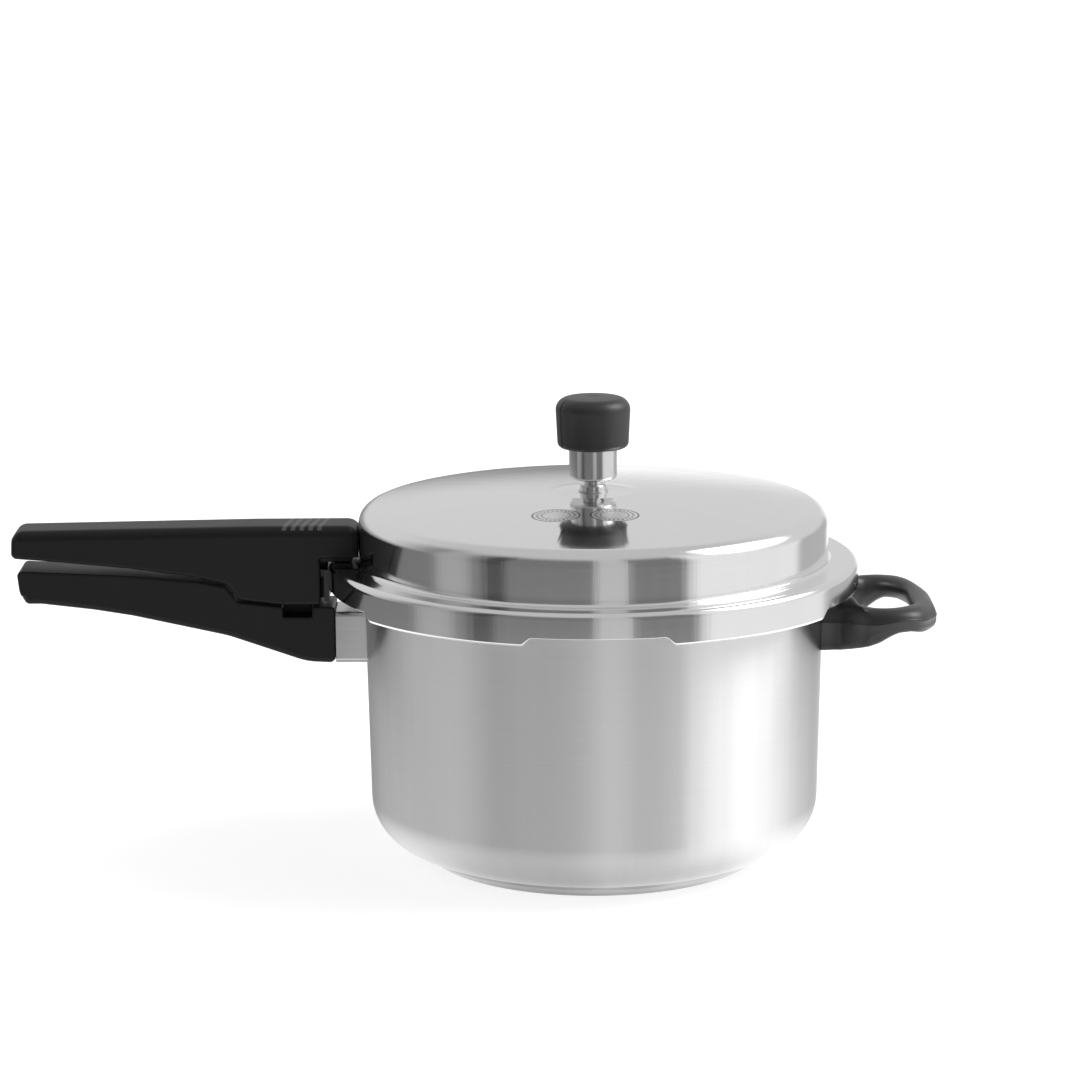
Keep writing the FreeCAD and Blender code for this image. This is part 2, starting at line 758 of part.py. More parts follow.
def make_lid_handle_bracket():
    """Foot welded to the lid's skirt and a flat strip that runs into the upper handle."""
    body = new_body("lid_handle_bracket")
    foot_in = "-skirt_radius + 4"
    foot_out = "-skirt_radius - weld_sheet"
    pad(body, "weld_foot", "XZ_Plane",
        box_outline(foot_out, "lid_weld_bottom", foot_in, "lid_weld_top"),
        "weld_width", symmetric=True)
    pad(body, "strip", "XY_Plane",
        box_outline("-lid_strip_reach", "-strip_width / 2", foot_in, "strip_width / 2"),
        "strip", "lid_strip_height")
    revolve(body, "skirt_side", [
        ("0", "lid_weld_bottom - 1"),
        ("skirt_radius", "lid_weld_bottom - 1"),
        ("skirt_radius", "lid_weld_top + 1"),
        ("0", "lid_weld_top + 1"),
    ], cut=True)
    for name, reach in (("screw_a", "upper_screw_a"), ("screw_b", "upper_screw_b")):
        drill(body, name + "_hole", f"-{reach}", "0", "screw_radius",
              "lid_strip_height", "lid_strip_height + strip")
    return body


def make_vent_pipe():
    """Threaded steam pipe with a collar above the lid and a small mouth."""
    body = new_body("vent_pipe")
    washer_top = "lid_crown + vent_washer_sheet"
    revolve(body, "turning", [
        ("vent_bore", "vent_thread_end"),
        ("vent_thread", "vent_thread_end"),
        ("vent_thread", washer_top),
        ("vent_collar", washer_top),
        ("vent_collar", "vent_collar_top - 0.6"),
        ("vent_collar - 0.6", "vent_collar_top"),
        ("vent_neck", "vent_collar_top"),
        ("vent_neck", "vent_neck_top"),
        ("vent_mouth", "vent_tip"),
        ("vent_bore", "vent_tip"),
    ])
    return body


def make_vent_washer():
    body = new_body("vent_washer")
    revolve(body, "ring", box_outline("vent_thread + 0.05", "lid_crown", "vent_washer_radius",
                                      "lid_crown + vent_washer_sheet"))
    return body


def add_hex_nut(body, top, bore):
    """A hexagon nut below a height, with a round bore."""
    corner = "nut_flats / sqrt(3)"
    outline = []
    for number in range(6):
        angle = f"{60 * number}"
        outline.append((f"{corner} * cos({angle})", f"{corner} * sin({angle})"))
    pad(body, "hexagon", "XY_Plane", outline, "nut_height", f"{top} - nut_height")
    drill(body, "bore", "0", "0", bore, f"{top} - nut_height", top)


def make_vent_nut():
    body = new_body("vent_nut")
    add_hex_nut(body, "lid_crown - lid_sheet - nut_play", "vent_thread")
    return body


# ---------------------------------------------------------------- safety valve

def on_lid(body):
    """Stand a body on the dome at the safety valve's place, square to the surface."""
    run = SIZES["lid_radius"] - SIZES["lid_shoulder"]
    rise = SIZES["lid_crown"] - SIZES["lid_edge"]
    radius = (run * run + rise * rise) / (2 * rise)
    x, y = SIZES["safety_x"], SIZES["safety_y"]
    out = Vector(x, y, math.sqrt(radius * radius - x * x - y * y))
    centre = Vector(0, 0, SIZES["lid_crown"] - radius)
    body.Placement = Placement(centre + out, Rotation(Vector(0, 0, 1), out))
    doc.recompute()
    return body


def make_safety_valve_body():
    body = new_body("safety_valve_body")
    revolve(body, "turning", [
        ("safety_bore", "-safety_shank"),
        ("safety_thread", "-safety_shank"),
        ("safety_thread", "safety_washer_sheet"),
        ("safety_head", "safety_washer_sheet"),
        ("safety_head", "safety_head_height - 1", "1"),
        ("safety_head - 1", "safety_head_height"),
        ("safety_bore", "safety_head_height"),
    ])
    return on_lid(body)


def make_safety_valve_plug():
    """Fusible alloy that fills the valve's bore."""
    body = new_body("safety_valve_plug")
    post(body, "alloy", "0", "0", "safety_bore", "-safety_shank", "safety_head_height - 0.5")
    return on_lid(body)


def make_safety_valve_washer():
    body = new_body("safety_valve_washer")
    revolve(body, "ring", box_outline("safety_thread + 0.05", "0.05", "safety_head",
                                      "safety_washer_sheet"))
    return on_lid(body)


def make_safety_valve_nut():
    body = new_body("safety_valve_nut")
    add_hex_nut(body, "-lid_sheet - nut_play", "safety_thread")
    return on_lid(body)


# ---------------------------------------------------------------- weight

def make_weight_body():
    """Steel weight with a bore that drops over the vent pipe and a groove for the wire clip."""
    body = new_body("weight_body")
    groove_low = "clip_height - clip_groove"
    groove_high = "clip_height + clip_groove"
    revolve(body, "turning", [
        ("weight_bore", "weight_bottom"),
        ("weight_radius - weight_corner", "weight_bottom", "weight_corner"),
        ("weight_radius", "weight_bottom + weight_corner"),
        ("weight_radius", "weight_top"),
        ("stud_radius", "weight_top"),
        ("stud_radius", "weight_bore_top"),
        ("weight_bore", "weight_bore_top"),
        ("weight_bore", groove_high),
        ("weight_bore + clip_groove", groove_high),
        ("weight_bore + clip_groove", groove_low),
        ("weight_bore", groove_low),
    ])
    return body


def make_weight_cap():
    """Moulded cap, widest near its top, over the upper end of the weight."""
    body = new_body("weight_cap")
    revolve(body, "moulding", [
        ("weight_radius", "cap_bottom"),
        ("cap_narrow - cap_low_round", "cap_bottom", "cap_low_round"),
        ("cap_narrow", "cap_bottom + cap_low_round"),
        ("cap_wide", "cap_top - cap_top_round", "cap_top_round"),
        ("cap_wide - cap_top_round", "cap_top"),
        ("0", "cap_top"),
        ("0", "stud_top"),
        ("stud_radius", "stud_top"),
        ("stud_radius", "weight_top"),
        ("weight_radius", "weight_top"),
    ])
    return body


def make_weight_stud():
    body = new_body("weight_stud")
    post(body, "thread", "0", "0", "stud_radius", "weight_bore_top", "stud_top")
    return body


def make_weight_pin():
    """Conical pin above the vent pipe's mouth."""
    body = new_body("weight_pin")
    revolve(body, "turning", [
        ("0", "pin_tip"),
        ("pin_radius", "pin_tip + 3"),
        ("pin_radius", "weight_bore_top"),
        ("0", "weight_bore_top"),
    ])
    return body


def make_weight_clip():
    """Wire ring in the bore's groove."""
    clip = doc.addObject("Part::Torus", "weight_clip")
    clip.Label = "weight_clip"
    clip.setExpression("Radius1", bind("weight_bore + clip_wire / 4"))
    clip.setExpression("Radius2", bind("clip_wire"))
    clip.setExpression("Placement.Base.z", bind("clip_height"))
    doc.recompute()
    return clip


# ---------------------------------------------------------------- assembly and export

fill_sheet()
pieces = [
    make_pan_body(),
    make_base_core_disc(),
    make_base_cap(),
    make_pan_bracket("pan_handle_bracket", "-1", "pan_strip_height", "pan_strip_reach",
                     "pan_weld_bottom", "pan_weld_top", "lower_screw"),
    make_pan_bracket("helper_bracket", "1", "helper_strip_height", "helper_strip_reach",
                     "helper_weld_bottom", "helper_weld_top", "helper_screw"),
    make_flame_guard(),
    make_lower_handle(),
    make_screws("lower_handle_screw", [("-lower_screw", "lower_screw_seat")],
                "pan_strip_height"),
    make_helper_handle(),
    make_screws("helper_screw", [("helper_screw", "helper_screw_seat")],
                "helper_strip_height"),
    make_lid_shell(),
    make_sealing_gasket(),
    make_lid_handle_bracket(),
    make_upper_handle(),
    make_screws("upper_handle_screws",
                [("-upper_screw_a", "upper_screw_seat"), ("-upper_screw_b", "upper_screw_seat")],
                "lid_strip_height"),
    make_vent_pipe(),
    make_vent_washer(),
    make_vent_nut(),
    make_safety_valve_body(),
    make_safety_valve_plug(),
    make_safety_valve_washer(),
    make_safety_valve_nut(),
    make_weight_body(),
    make_weight_cap(),
    make_weight_stud(),
    make_weight_pin(),
    make_weight_clip(),
]
doc.recompute()

for item in doc.Objects:
    if {"Invalid", "Error"} & set(item.State):
        raise RuntimeError(f"{item.Label} failed: {item.State}")
for piece in pieces:
    if piece.Shape.isNull() or not piece.Shape.isValid():
        raise RuntimeError(f"{piece.Label} has no valid shape")

os.makedirs("parts", exist_ok=True)
for piece in pieces:
    piece.Shape.exportStep(f"parts/{piece.Label}.step")
    print(f"{piece.Label:24s} {piece.Shape.Volume:12.1f} mm3  solids {len(piece.Shape.Solids)}")
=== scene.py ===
import math

import bmesh
import bpy
from mathutils import Matrix, Vector


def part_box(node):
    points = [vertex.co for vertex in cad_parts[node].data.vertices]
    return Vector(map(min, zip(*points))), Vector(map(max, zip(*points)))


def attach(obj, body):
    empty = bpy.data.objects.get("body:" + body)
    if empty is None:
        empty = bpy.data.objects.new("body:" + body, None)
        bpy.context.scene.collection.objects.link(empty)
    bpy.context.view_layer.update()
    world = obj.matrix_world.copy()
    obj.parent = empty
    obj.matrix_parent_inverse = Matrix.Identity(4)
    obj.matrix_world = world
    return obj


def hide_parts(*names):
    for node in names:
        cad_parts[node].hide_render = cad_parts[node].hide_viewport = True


# Stovetop pressure cooker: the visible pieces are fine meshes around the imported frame.
# Lengths are in metres, in the frame's own axes: +Z up, long handles along -X.

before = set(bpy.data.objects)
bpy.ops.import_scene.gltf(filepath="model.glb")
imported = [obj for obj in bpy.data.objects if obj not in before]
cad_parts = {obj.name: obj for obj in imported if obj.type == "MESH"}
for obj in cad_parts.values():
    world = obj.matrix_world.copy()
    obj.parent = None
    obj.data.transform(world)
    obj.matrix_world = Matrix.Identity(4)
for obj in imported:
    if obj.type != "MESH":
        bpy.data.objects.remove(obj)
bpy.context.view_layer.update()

MM = 0.001


# ---------------------------------------------------------------- sizes, from the frame

_, pan_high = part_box("pan_body")
_, cap_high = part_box("base_cap")
lid_low, lid_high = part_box("lid_shell")
washer_low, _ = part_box("vent_washer")
upper_low, upper_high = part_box("upper_handle")
guard_low, guard_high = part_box("flame_guard")
loop_low, loop_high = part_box("helper_handle")
weight_low, weight_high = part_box("weight_body")
knob_low, knob_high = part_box("weight_cap")
gasket_low, gasket_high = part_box("sealing_gasket")

LUGS = 5
LUG_PHASE = math.radians(18)
LUG_PITCH = math.tau / LUGS
LUG_STEP = math.radians(2.4)

SHEET = 1.5 * MM
PAN_LOW_RADIUS = 100 * MM
PAN_RADIUS = 101.8 * MM
PAN_CORNER = 34 * MM
PAN_FLOOR = 6 * MM
RIM_TOP = pan_high.z
RIM_RADIUS = 109.5 * MM
RIM_LIP = 4.2 * MM
RIM_BEND = 2 * MM
PAN_LUG_HALF = math.radians(14)
PAN_LUG_RADIUS = 115 * MM
CAP_SHEET = 1 * MM
CAP_CORNER = 5 * MM

LID_RADIUS = 104 * MM
SKIRT_RADIUS = lid_high.y
CROWN = washer_low.z
LID_EDGE = 157.5 * MM
DOME_RADIUS = LID_RADIUS ** 2 / (2 * (CROWN - LID_EDGE))
FLANGE = 134.7 * MM
SKIRT_BOTTOM = 123.7 * MM
LID_LUG_REACH = 110.3 * MM
LID_LUG_HALF = math.radians(21)
LID_SHOULDER = 7.6 * MM
FLANGE_FILLET = 2 * MM
SKIRT_CORNER = 3 * MM
CUT_EDGE = 0.25 * MM
VENT_HOLE = 5 * MM
PRESSED_RING_RADIUS = 17.5 * MM
PRESSED_RING_WIDTH = 2.4 * MM
PRESSED_RING_HEIGHT = 0.14 * MM

HANDLE_HALF = (upper_high.y - upper_low.y) / 2
WEB_HALF = 3 * MM
WEB_EDGE = 0.8 * MM
GUARD_SHEET = 1 * MM
GUARD_GAP = 0.02 * MM
FIT = 0.05 * MM

KNOB_RADIUS = knob_high.x
KNOB_SHOULDER = 9 * MM
KNOB_DISH = 0.35 * MM
KNOB_DISH_RADIUS = 5.5 * MM
WEIGHT_BORE = 4.7 * MM
WEIGHT_BORE_TOP = 184 * MM
STUD_RADIUS = 3 * MM

VIEW_TURN = math.radians(-1)
VIEW_RISE = math.radians(11.75)
VIEW_DISTANCE = 1.694
VIEW_ROLL = math.radians(-0.35)
PIXEL = 1 / 3816


# ---------------------------------------------------------------- mesh helpers

def fillet(before, corner, after, radius, steps):
    """Points of the arc that rounds a corner, or the corner itself where nothing fits."""
    a = Vector(before) - Vector(corner)
    b = Vector(after) - Vector(corner)
    if a.length < 1e-9 or b.length < 1e-9:
        return [tuple(corner)] * (steps + 1)
    angle = a.angle(b)
    reach = radius / math.tan(angle / 2) if angle < math.pi - 1e-4 else 0
    reach = min(reach, 0.49 * a.length, 0.49 * b.length)
    start = Vector(corner) + a.normalized() * reach
    end = Vector(corner) + b.normalized() * reach
    half_turn = (math.pi - angle) / 2
    points = []
    for i in range(steps + 1):
        share = i / steps
        if half_turn < 1e-4:
            points.append(tuple(start.lerp(end, share)))
            continue
        sweep = (2 * share - 1) * half_turn
        chord = math.sin(sweep) / math.sin(half_turn)
        middle = (start + end) / 2
        out = Vector(corner) - middle
        bulge = (math.cos(sweep) - math.cos(half_turn)) / (1 - math.cos(half_turn))
        depth = (end - start).length / 2 * math.tan(half_turn / 2)
        arc = middle + (end - start) / 2 * chord
        if out.length > 1e-12:
            arc += out.normalized() * depth * bulge
        points.append(tuple(arc))
    return points


def rounded(corners, closed=True, steps=6):
    """A smooth path through corners (x, y, radius): every corner with a radius becomes an arc."""
    path = []
    count = len(corners)
    for i, (x, y, radius) in enumerate(corners):
        at_end = not closed and i in (0, count - 1)
        if radius <= 0 or at_end:
            path.append((x, y))
            continue
        before = corners[i - 1][:2]
        after = corners[(i + 1) % count][:2]
        path.extend(fillet(before, (x, y), after, radius, steps))
    return path


def new_piece(name, vertices, faces, even_normals=True):
    mesh = bpy.data.meshes.new(name)
    mesh.from_pydata([tuple(v) for v in vertices], [], faces)
    work = bmesh.new()
    work.from_mesh(mesh)
    bmesh.ops.remove_doubles(work, verts=work.verts, dist=1e-7)
    bmesh.ops.dissolve_degenerate(work, edges=work.edges, dist=1e-7)
    bmesh.ops.recalc_face_normals(work, faces=work.faces)
    work.to_mesh(mesh)
    work.free()
    for polygon in mesh.polygons:
        polygon.use_smooth = True
    piece = bpy.data.objects.new(name, mesh)
    bpy.context.scene.collection.objects.link(piece)
    if even_normals:
        even = piece.modifiers.new("even_normals", "WEIGHTED_NORMAL")
        even.mode = "FACE_AREA"
        even.weight = 60
    return piece


def ring_faces(rings, closed=True):
    """Faces between rings of vertices, round to the first ring again."""
    faces = []
    size = len(rings[0])
    spans = size if closed else size - 1
    for i, ring in enumerate(rings):
        following = rings[(i + 1) % len(rings)]
        for j in range(spans):
            k = (j + 1) % size
            faces.append((ring[j], following[j], following[k], ring[k]))
    return faces


def lathe(name, section_at, angles, closed=True):
    """Turn a section about Z. section_at(angle) gives (radius, height) points."""
    vertices = []
    rings = []
    for angle in angles:
        ring = []
        for radius, height in section_at(angle):
            ring.append(len(vertices))
            vertices.append((radius * math.cos(angle), radius * math.sin(angle), height))
        rings.append(ring)
    return new_piece(name, vertices, ring_faces(rings, closed))


def even_angles(count):
    return [math.tau * i / count for i in range(count)]


def lug_angles(count, half):
    """Even angles, with extra ones where the lugs begin and end."""
    angles = set(even_angles(count))
    for lug in range(LUGS):
        centre = LUG_PHASE + lug * LUG_PITCH
        for side in (-1, 1):
            for step in range(-6, 7):
                extra = centre + side * (half + step / 6 * LUG_STEP * 0.6)
                angles.add(extra % math.tau)
    return sorted(angles)


def lug_share(angle, half):
    """0 between lugs, 1 on a lug, with a smooth step."""
    offset = (angle - LUG_PHASE + LUG_PITCH / 2) % LUG_PITCH - LUG_PITCH / 2
    share = (half - abs(offset)) / LUG_STEP + 0.5
    share = min(max(share, 0), 1)
    return share * share * (3 - 2 * share)


def mix(a, b, share):
    return a + (b - a) * share


def dress(piece, material, body, slot, *replaced):
    """Give a piece its material and the body it rides on, and hide the nodes it stands for. The slot
    is not used.
    """
    piece.data.materials.clear()
    piece.data.materials.append(material)
    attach(piece, body)
    if replaced:
        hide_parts(*replaced)
    return piece


# ---------------------------------------------------------------- material helpers

class Nodes:
    """Short names for building a node tree."""

    def __init__(self, tree):
        self.tree = tree

    def add(self, kind, **settings):
        node = self.tree.nodes.new(kind)
        for name, value in settings.items():
            setattr(node, name, value)
        return node

    def join(self, source, target):
        self.tree.links.new(source, target)

    def feed(self, socket, value):
        if isinstance(value, (int, float, tuple)):
            socket.default_value = value
        else:
            self.join(value, socket)

    def math(self, operation, a, b=0.0, c=0.0):
        node = self.add("ShaderNodeMath", operation=operation)
        for socket, value in zip(node.inputs, (a, b, c)):
            self.feed(socket, value)
        return node.outputs[0]

    def length(self, x, y):
        """How far (x, y) is from zero."""
        return self.math("SQRT", self.math("ADD", self.math("MULTIPLY", x, x),
                                           self.math("MULTIPLY", y, y)))

    def smooth(self, value, low, high, start=0.0, end=1.0):
        """A smooth step from start to end while the value goes from low to high."""
        node = self.add("ShaderNodeMapRange", interpolation_type="SMOOTHSTEP")
        for socket, item in zip(node.inputs, (value, low, high, start, end)):
            self.feed(socket, item)
        return node.outputs[0]

    def ramp(self, value, low, high):
        """Linear map of a 0..1 value to low..high."""
        node = self.add("ShaderNodeMapRange")
        for socket, item in zip(node.inputs, (value, 0.0, 1.0, low, high)):
            self.feed(socket, item)
        return node.outputs[0]

    def noise(self, vector, scale, detail=2.0, roughness=0.5):
        node = self.add("ShaderNodeTexNoise")
        self.join(vector, node.inputs["Vector"])
        node.inputs["Scale"].default_value = scale
        node.inputs["Detail"].default_value = detail
        node.inputs["Roughness"].default_value = roughness
        return node.outputs["Fac"]

    def combine(self, x, y, z):
        node = self.add("ShaderNodeCombineXYZ")
        for socket, item in zip(node.inputs, (x, y, z)):
            self.feed(socket, item)
        return node.outputs[0]

    def mix_colour(self, share, a, b):
        node = self.add("ShaderNodeMix", data_type="RGBA")
        self.feed(node.inputs[0], share)
        self.feed(node.inputs[6], a)
        self.feed(node.inputs[7], b)
        return node.outputs[2]

    def bump(self, height, strength, distance, under=None):
        """A bump of a depth in metres, on top of another bump if there is one."""
        node = self.add("ShaderNodeBump")
        node.inputs["Strength"].default_value = strength
        node.inputs["Distance"].default_value = distance
        self.join(height, node.inputs["Height"])
        if under is not None:
            self.join(under, node.inputs["Normal"])
        return node.outputs[0]


def new_material(name):
    material = bpy.data.materials.new(name)
    material.use_nodes = True
    tree = material.node_tree
    shader = tree.nodes["Principled BSDF"]
    return material, Nodes(tree), shader


def object_axes(nodes):
    """Object coordinates, whole and as x, y, z."""
    place = nodes.add("ShaderNodeTexCoord").outputs["Object"]
    split = nodes.add("ShaderNodeSeparateXYZ")
    nodes.join(place, split.inputs[0])
    return place, split.outputs[0], split.outputs[1], split.outputs[2]


def around_axis(nodes, x, y, z, around, along):
    """Coordinates for marks on a turned surface: round Z, and along the profile."""
    radius = nodes.length(x, y)
    safe = nodes.math("MAXIMUM", radius, 1e-4)
    profile = nodes.math("ADD", z, nodes.math("MULTIPLY", radius, 1.3))
    return nodes.combine(nodes.math("MULTIPLY", nodes.math("DIVIDE", x, safe), around),
                         nodes.math("MULTIPLY", nodes.math("DIVIDE", y, safe), around),
                         nodes.math("MULTIPLY", profile, along))


# Depth of the waves that polishing leaves in drawn sheet.
POLISH_WAVE = 0.12 * MM


def polish(nodes, shader, anisotropy):
    """Stretch the gloss across the circular polishing marks."""
    shader.inputs["Metallic"].default_value = 1.0
    shader.inputs["Anisotropic"].default_value = anisotropy
    shader.inputs["Anisotropic Rotation"].default_value = 0.25
    tangent = nodes.add("ShaderNodeTangent", direction_type="RADIAL", axis="Z")
    nodes.join(tangent.outputs[0], shader.inputs["Tangent"])


def steel(name, colour, roughness, spread, anisotropy, streaks=12.0, lines=900.0):
    """Stainless steel polished round Z: soft streaks up the wall and faint fine lines round it."""
    material, nodes, shader = new_material(name)
    _, x, y, z = object_axes(nodes)
    streak = nodes.noise(around_axis(nodes, x, y, z, streaks, 5.0), 1.0, 3.0, 0.6)
    line = nodes.noise(around_axis(nodes, x, y, z, 1.2, lines), 1.0, 2.0, 0.5)
    share = nodes.math("ADD", nodes.math("MULTIPLY", streak, 0.7), nodes.math("MULTIPLY", line, 0.3))
    dark = tuple(c * 0.82 for c in colour) + (1,)
    nodes.join(nodes.mix_colour(share, dark, tuple(colour) + (1,)), shader.inputs["Base Color"])
    nodes.join(nodes.ramp(share, roughness - spread, roughness + spread),
               shader.inputs["Roughness"])
    wave = nodes.bump(streak, 0.5, POLISH_WAVE)
    nodes.join(nodes.bump(line, 0.04, 0.04 * MM, wave), shader.inputs["Normal"])
    polish(nodes, shader, anisotropy)
    return material


def brushed_sheet(name, colour, roughness):
    """Sheet steel brushed along X."""
    material, nodes, shader = new_material(name)
    _, x, y, z = object_axes(nodes)
    grain = nodes.noise(nodes.combine(nodes.math("MULTIPLY", x, 60.0),
                                      nodes.math("MULTIPLY", y, 2400.0),
                                      nodes.math("MULTIPLY", z, 2400.0)), 1.0, 3.0, 0.6)
    nodes.join(nodes.mix_colour(grain, tuple(c * 0.9 for c in colour) + (1,),
                                tuple(colour) + (1,)), shader.inputs["Base Color"])
    nodes.join(nodes.ramp(grain, roughness - 0.06, roughness + 0.06), shader.inputs["Roughness"])
    nodes.join(nodes.bump(grain, 0.15, 0.03 * MM), shader.inputs["Normal"])
    shader.inputs["Metallic"].default_value = 1.0
    return material


HANDLE_TONE = (0.006, 0.006, 0.0063)
HANDLE_SHEEN = 0.2


def bakelite_nodes(name, colour, roughness, sheen):
    """Satin phenolic moulding: fine orange-peel grain and faint flow marks."""
    material, nodes, shader = new_material(name)
    place, x, y, z = object_axes(nodes)
    grain = nodes.noise(place, 1900.0, 2.0, 0.5)
    flow = nodes.noise(place, 45.0, 4.0, 0.6)
    light = tuple(c * 1.35 for c in colour) + (1,)
    tone = nodes.mix_colour(flow, tuple(colour) + (1,), light)
    nodes.join(tone, shader.inputs["Base Color"])
    share = nodes.math("ADD", nodes.math("MULTIPLY", grain, 0.5), nodes.math("MULTIPLY", flow, 0.5))
    nodes.join(nodes.ramp(share, roughness - 0.07, roughness + 0.07), shader.inputs["Roughness"])
    nodes.join(nodes.bump(grain, 0.22, 0.08 * MM), shader.inputs["Normal"])
    shader.inputs["IOR"].default_value = 1.56
    shader.inputs["Specular IOR Level"].default_value = sheen
    return material, nodes, shader, tone, (x, y, z)


def bakelite(name, colour=HANDLE_TONE, roughness=0.4, sheen=HANDLE_SHEEN):
    return bakelite_nodes(name, colour, roughness, sheen)[0]


STRIPES = 5
STRIPE_START = -135.6 * MM
STRIPE_PITCH = 3.9 * MM
STRIPE_WIDTH = 1.9 * MM
STRIPE_SLANT = 0.16


def striped_bakelite(name):
    """The upper handle's bakelite, with slanted grey stripes printed across its top."""
    material, nodes, shader, tone, (x, y, z) = bakelite_nodes(name, HANDLE_TONE, 0.4, HANDLE_SHEEN)
    along = nodes.math("SUBTRACT", x, nodes.math("MULTIPLY", y, STRIPE_SLANT))
    place = nodes.math("DIVIDE", nodes.math("SUBTRACT", along, STRIPE_START), STRIPE_PITCH)
    share = nodes.math("FRACT", place)
    on_stripe = nodes.math("LESS_THAN", share, STRIPE_WIDTH / STRIPE_PITCH)
    inside = nodes.math("MULTIPLY", nodes.math("GREATER_THAN", place, 0.0),
                        nodes.math("LESS_THAN", place, float(STRIPES)))
    on_top = nodes.math("GREATER_THAN", z, upper_high.z - 1.6 * MM)
    printed = nodes.math("MULTIPLY", nodes.math("MULTIPLY", on_stripe, inside), on_top)
    printed = nodes.math("MULTIPLY", printed, 0.75)
    nodes.join(nodes.mix_colour(printed, tone, (0.1, 0.1, 0.1, 1)),
               shader.inputs["Base Color"])
    return material


EMBLEM_RADIUS = 10.3 * MM
EMBLEM_FRONT = 47.4 * MM
EMBLEM_SIDES = (-16.1 * MM, 9.2 * MM)
EMBLEM_TICKS = 26
EMBLEM_INNER = EMBLEM_RADIUS * 0.6
EMBLEM_TICK_LOW = EMBLEM_RADIUS * 0.74
EMBLEM_TICK_HIGH = EMBLEM_RADIUS * 0.84


def emblem_centre(side):
    """Centre of an etched circle, in front of the vent as the cooker is shown."""
    cosine, sine = math.cos(VIEW_TURN), math.sin(VIEW_TURN)
    return side * cosine + EMBLEM_FRONT * sine, side * sine - EMBLEM_FRONT * cosine


def etched_rings(nodes, x, y):
    """Two plain etched circles: the lines of each, and the frosted disc under them."""
    etched = 0.0
    frosted = 0.0
    for side in EMBLEM_SIDES:
        cx, cy = emblem_centre(side)
        dx = nodes.math("SUBTRACT", x, cx)
        dy = nodes.math("SUBTRACT", y, cy)
        reach = nodes.length(dx, dy)
        turn = nodes.math("MULTIPLY", nodes.math("ARCTAN2", dy, dx), EMBLEM_TICKS / math.tau)
        tick = nodes.math("LESS_THAN", nodes.math("FRACT", nodes.math("ADD", turn, 50.0)), 0.45)
        band = nodes.math("MULTIPLY", nodes.math("GREATER_THAN", reach, EMBLEM_TICK_LOW),
                          nodes.math("LESS_THAN", reach, EMBLEM_TICK_HIGH))
        etched = nodes.math("MAXIMUM", etched, nodes.math("MULTIPLY", tick, band))
        for ring, width in ((EMBLEM_RADIUS, 0.34 * MM), (EMBLEM_INNER, 0.18 * MM)):
            off = nodes.math("ABSOLUTE", nodes.math("SUBTRACT", reach, ring))
            line = nodes.math("SUBTRACT", 1.0, nodes.smooth(off, width * 0.6, width * 1.4))
            etched = nodes.math("MAXIMUM", etched, line)
        frosted = nodes.math("MAXIMUM", frosted, nodes.math("LESS_THAN", reach, EMBLEM_RADIUS))
    return etched, frosted


def lid_steel(name):
    """Bright polished lid steel, with the etched circles in front of the vent."""
    material, nodes, shader = new_material(name)
    _, x, y, z = object_axes(nodes)
    streak = nodes.noise(around_axis(nodes, x, y, z, 16.0, 7.0), 1.0, 3.0, 0.6)
    line = nodes.noise(around_axis(nodes, x, y, z, 1.2, 1100.0), 1.0, 2.0, 0.5)
    share = nodes.math("ADD", nodes.math("MULTIPLY", streak, 0.6), nodes.math("MULTIPLY", line, 0.4))
    on_top = nodes.math("GREATER_THAN", z, CROWN - 4 * MM)
    etched, frosted = (nodes.math("MULTIPLY", mark, on_top) for mark in etched_rings(nodes, x, y))
    polished = nodes.mix_colour(share, (0.82, 0.82, 0.825, 1), (0.9, 0.9, 0.9, 1))
    nodes.join(nodes.mix_colour(etched, polished, (0.09, 0.09, 0.09, 1)),
               shader.inputs["Base Color"])
    gloss = nodes.math("SUBTRACT", nodes.ramp(share, 0.09, 0.14), nodes.math("MULTIPLY", on_top, 0.05))
    nodes.join(nodes.math("MAXIMUM", gloss, nodes.math("MULTIPLY", frosted, 0.38)),
               shader.inputs["Roughness"])
    wave = nodes.bump(streak, 0.5, POLISH_WAVE)
    nodes.join(nodes.bump(line, 0.03, 0.03 * MM, wave), shader.inputs["Normal"])
    polish(nodes, shader, 0.5)
    return material


def plain_part(name, colour, metallic, roughness, scale):
    """A small part's finish: cast, moulded or turned, with a cloudy tone."""
    material, nodes, shader = new_material(name)
    place = object_axes(nodes)[0]
    cloud = nodes.noise(place, scale, 4.0, 0.6)
    nodes.join(nodes.mix_colour(cloud, tuple(c * 0.8 for c in colour) + (1,),
                                tuple(colour) + (1,)), shader.inputs["Base Color"])
    nodes.join(nodes.ramp(cloud, roughness - 0.08, roughness + 0.08), shader.inputs["Roughness"])
    nodes.join(nodes.bump(cloud, 0.2, 0.05 * MM), shader.inputs["Normal"])
    shader.inputs["Metallic"].default_value = metallic
    return material


pan_steel = steel("pan_steel", (0.8, 0.8, 0.8), 0.4, 0.05, 0.9)
base_steel = steel("base_steel", (0.6, 0.6, 0.6), 0.36, 0.05, 0.85)
turned_steel = steel("turned_steel", (0.82, 0.82, 0.82), 0.2, 0.05, 0.6, 5.0, 4200.0)
top_steel = lid_steel("lid_steel")
sheet_steel = brushed_sheet("sheet_steel", (0.55, 0.55, 0.56), 0.3)
handle_black = bakelite("handle_black")
loop_black = bakelite("loop_black", (0.02, 0.02, 0.021), 0.4, 0.5)
# Near-black steel for the bracket in the upper handle's cut-out: painted shade, the cut-out's dark put
# into the bracket's colour.
painted_shade_bracket_steel = plain_part("painted_shade_bracket_steel", (0.06, 0.06, 0.062), 1.0, 0.35, 300.0)
upper_black = striped_bakelite("upper_black")
knob_black = bakelite("knob_black", (0.02, 0.02, 0.021), 0.42, 0.45)
rubber = plain_part("gasket_black", (0.04, 0.04, 0.04), 0.0, 0.6, 300.0)
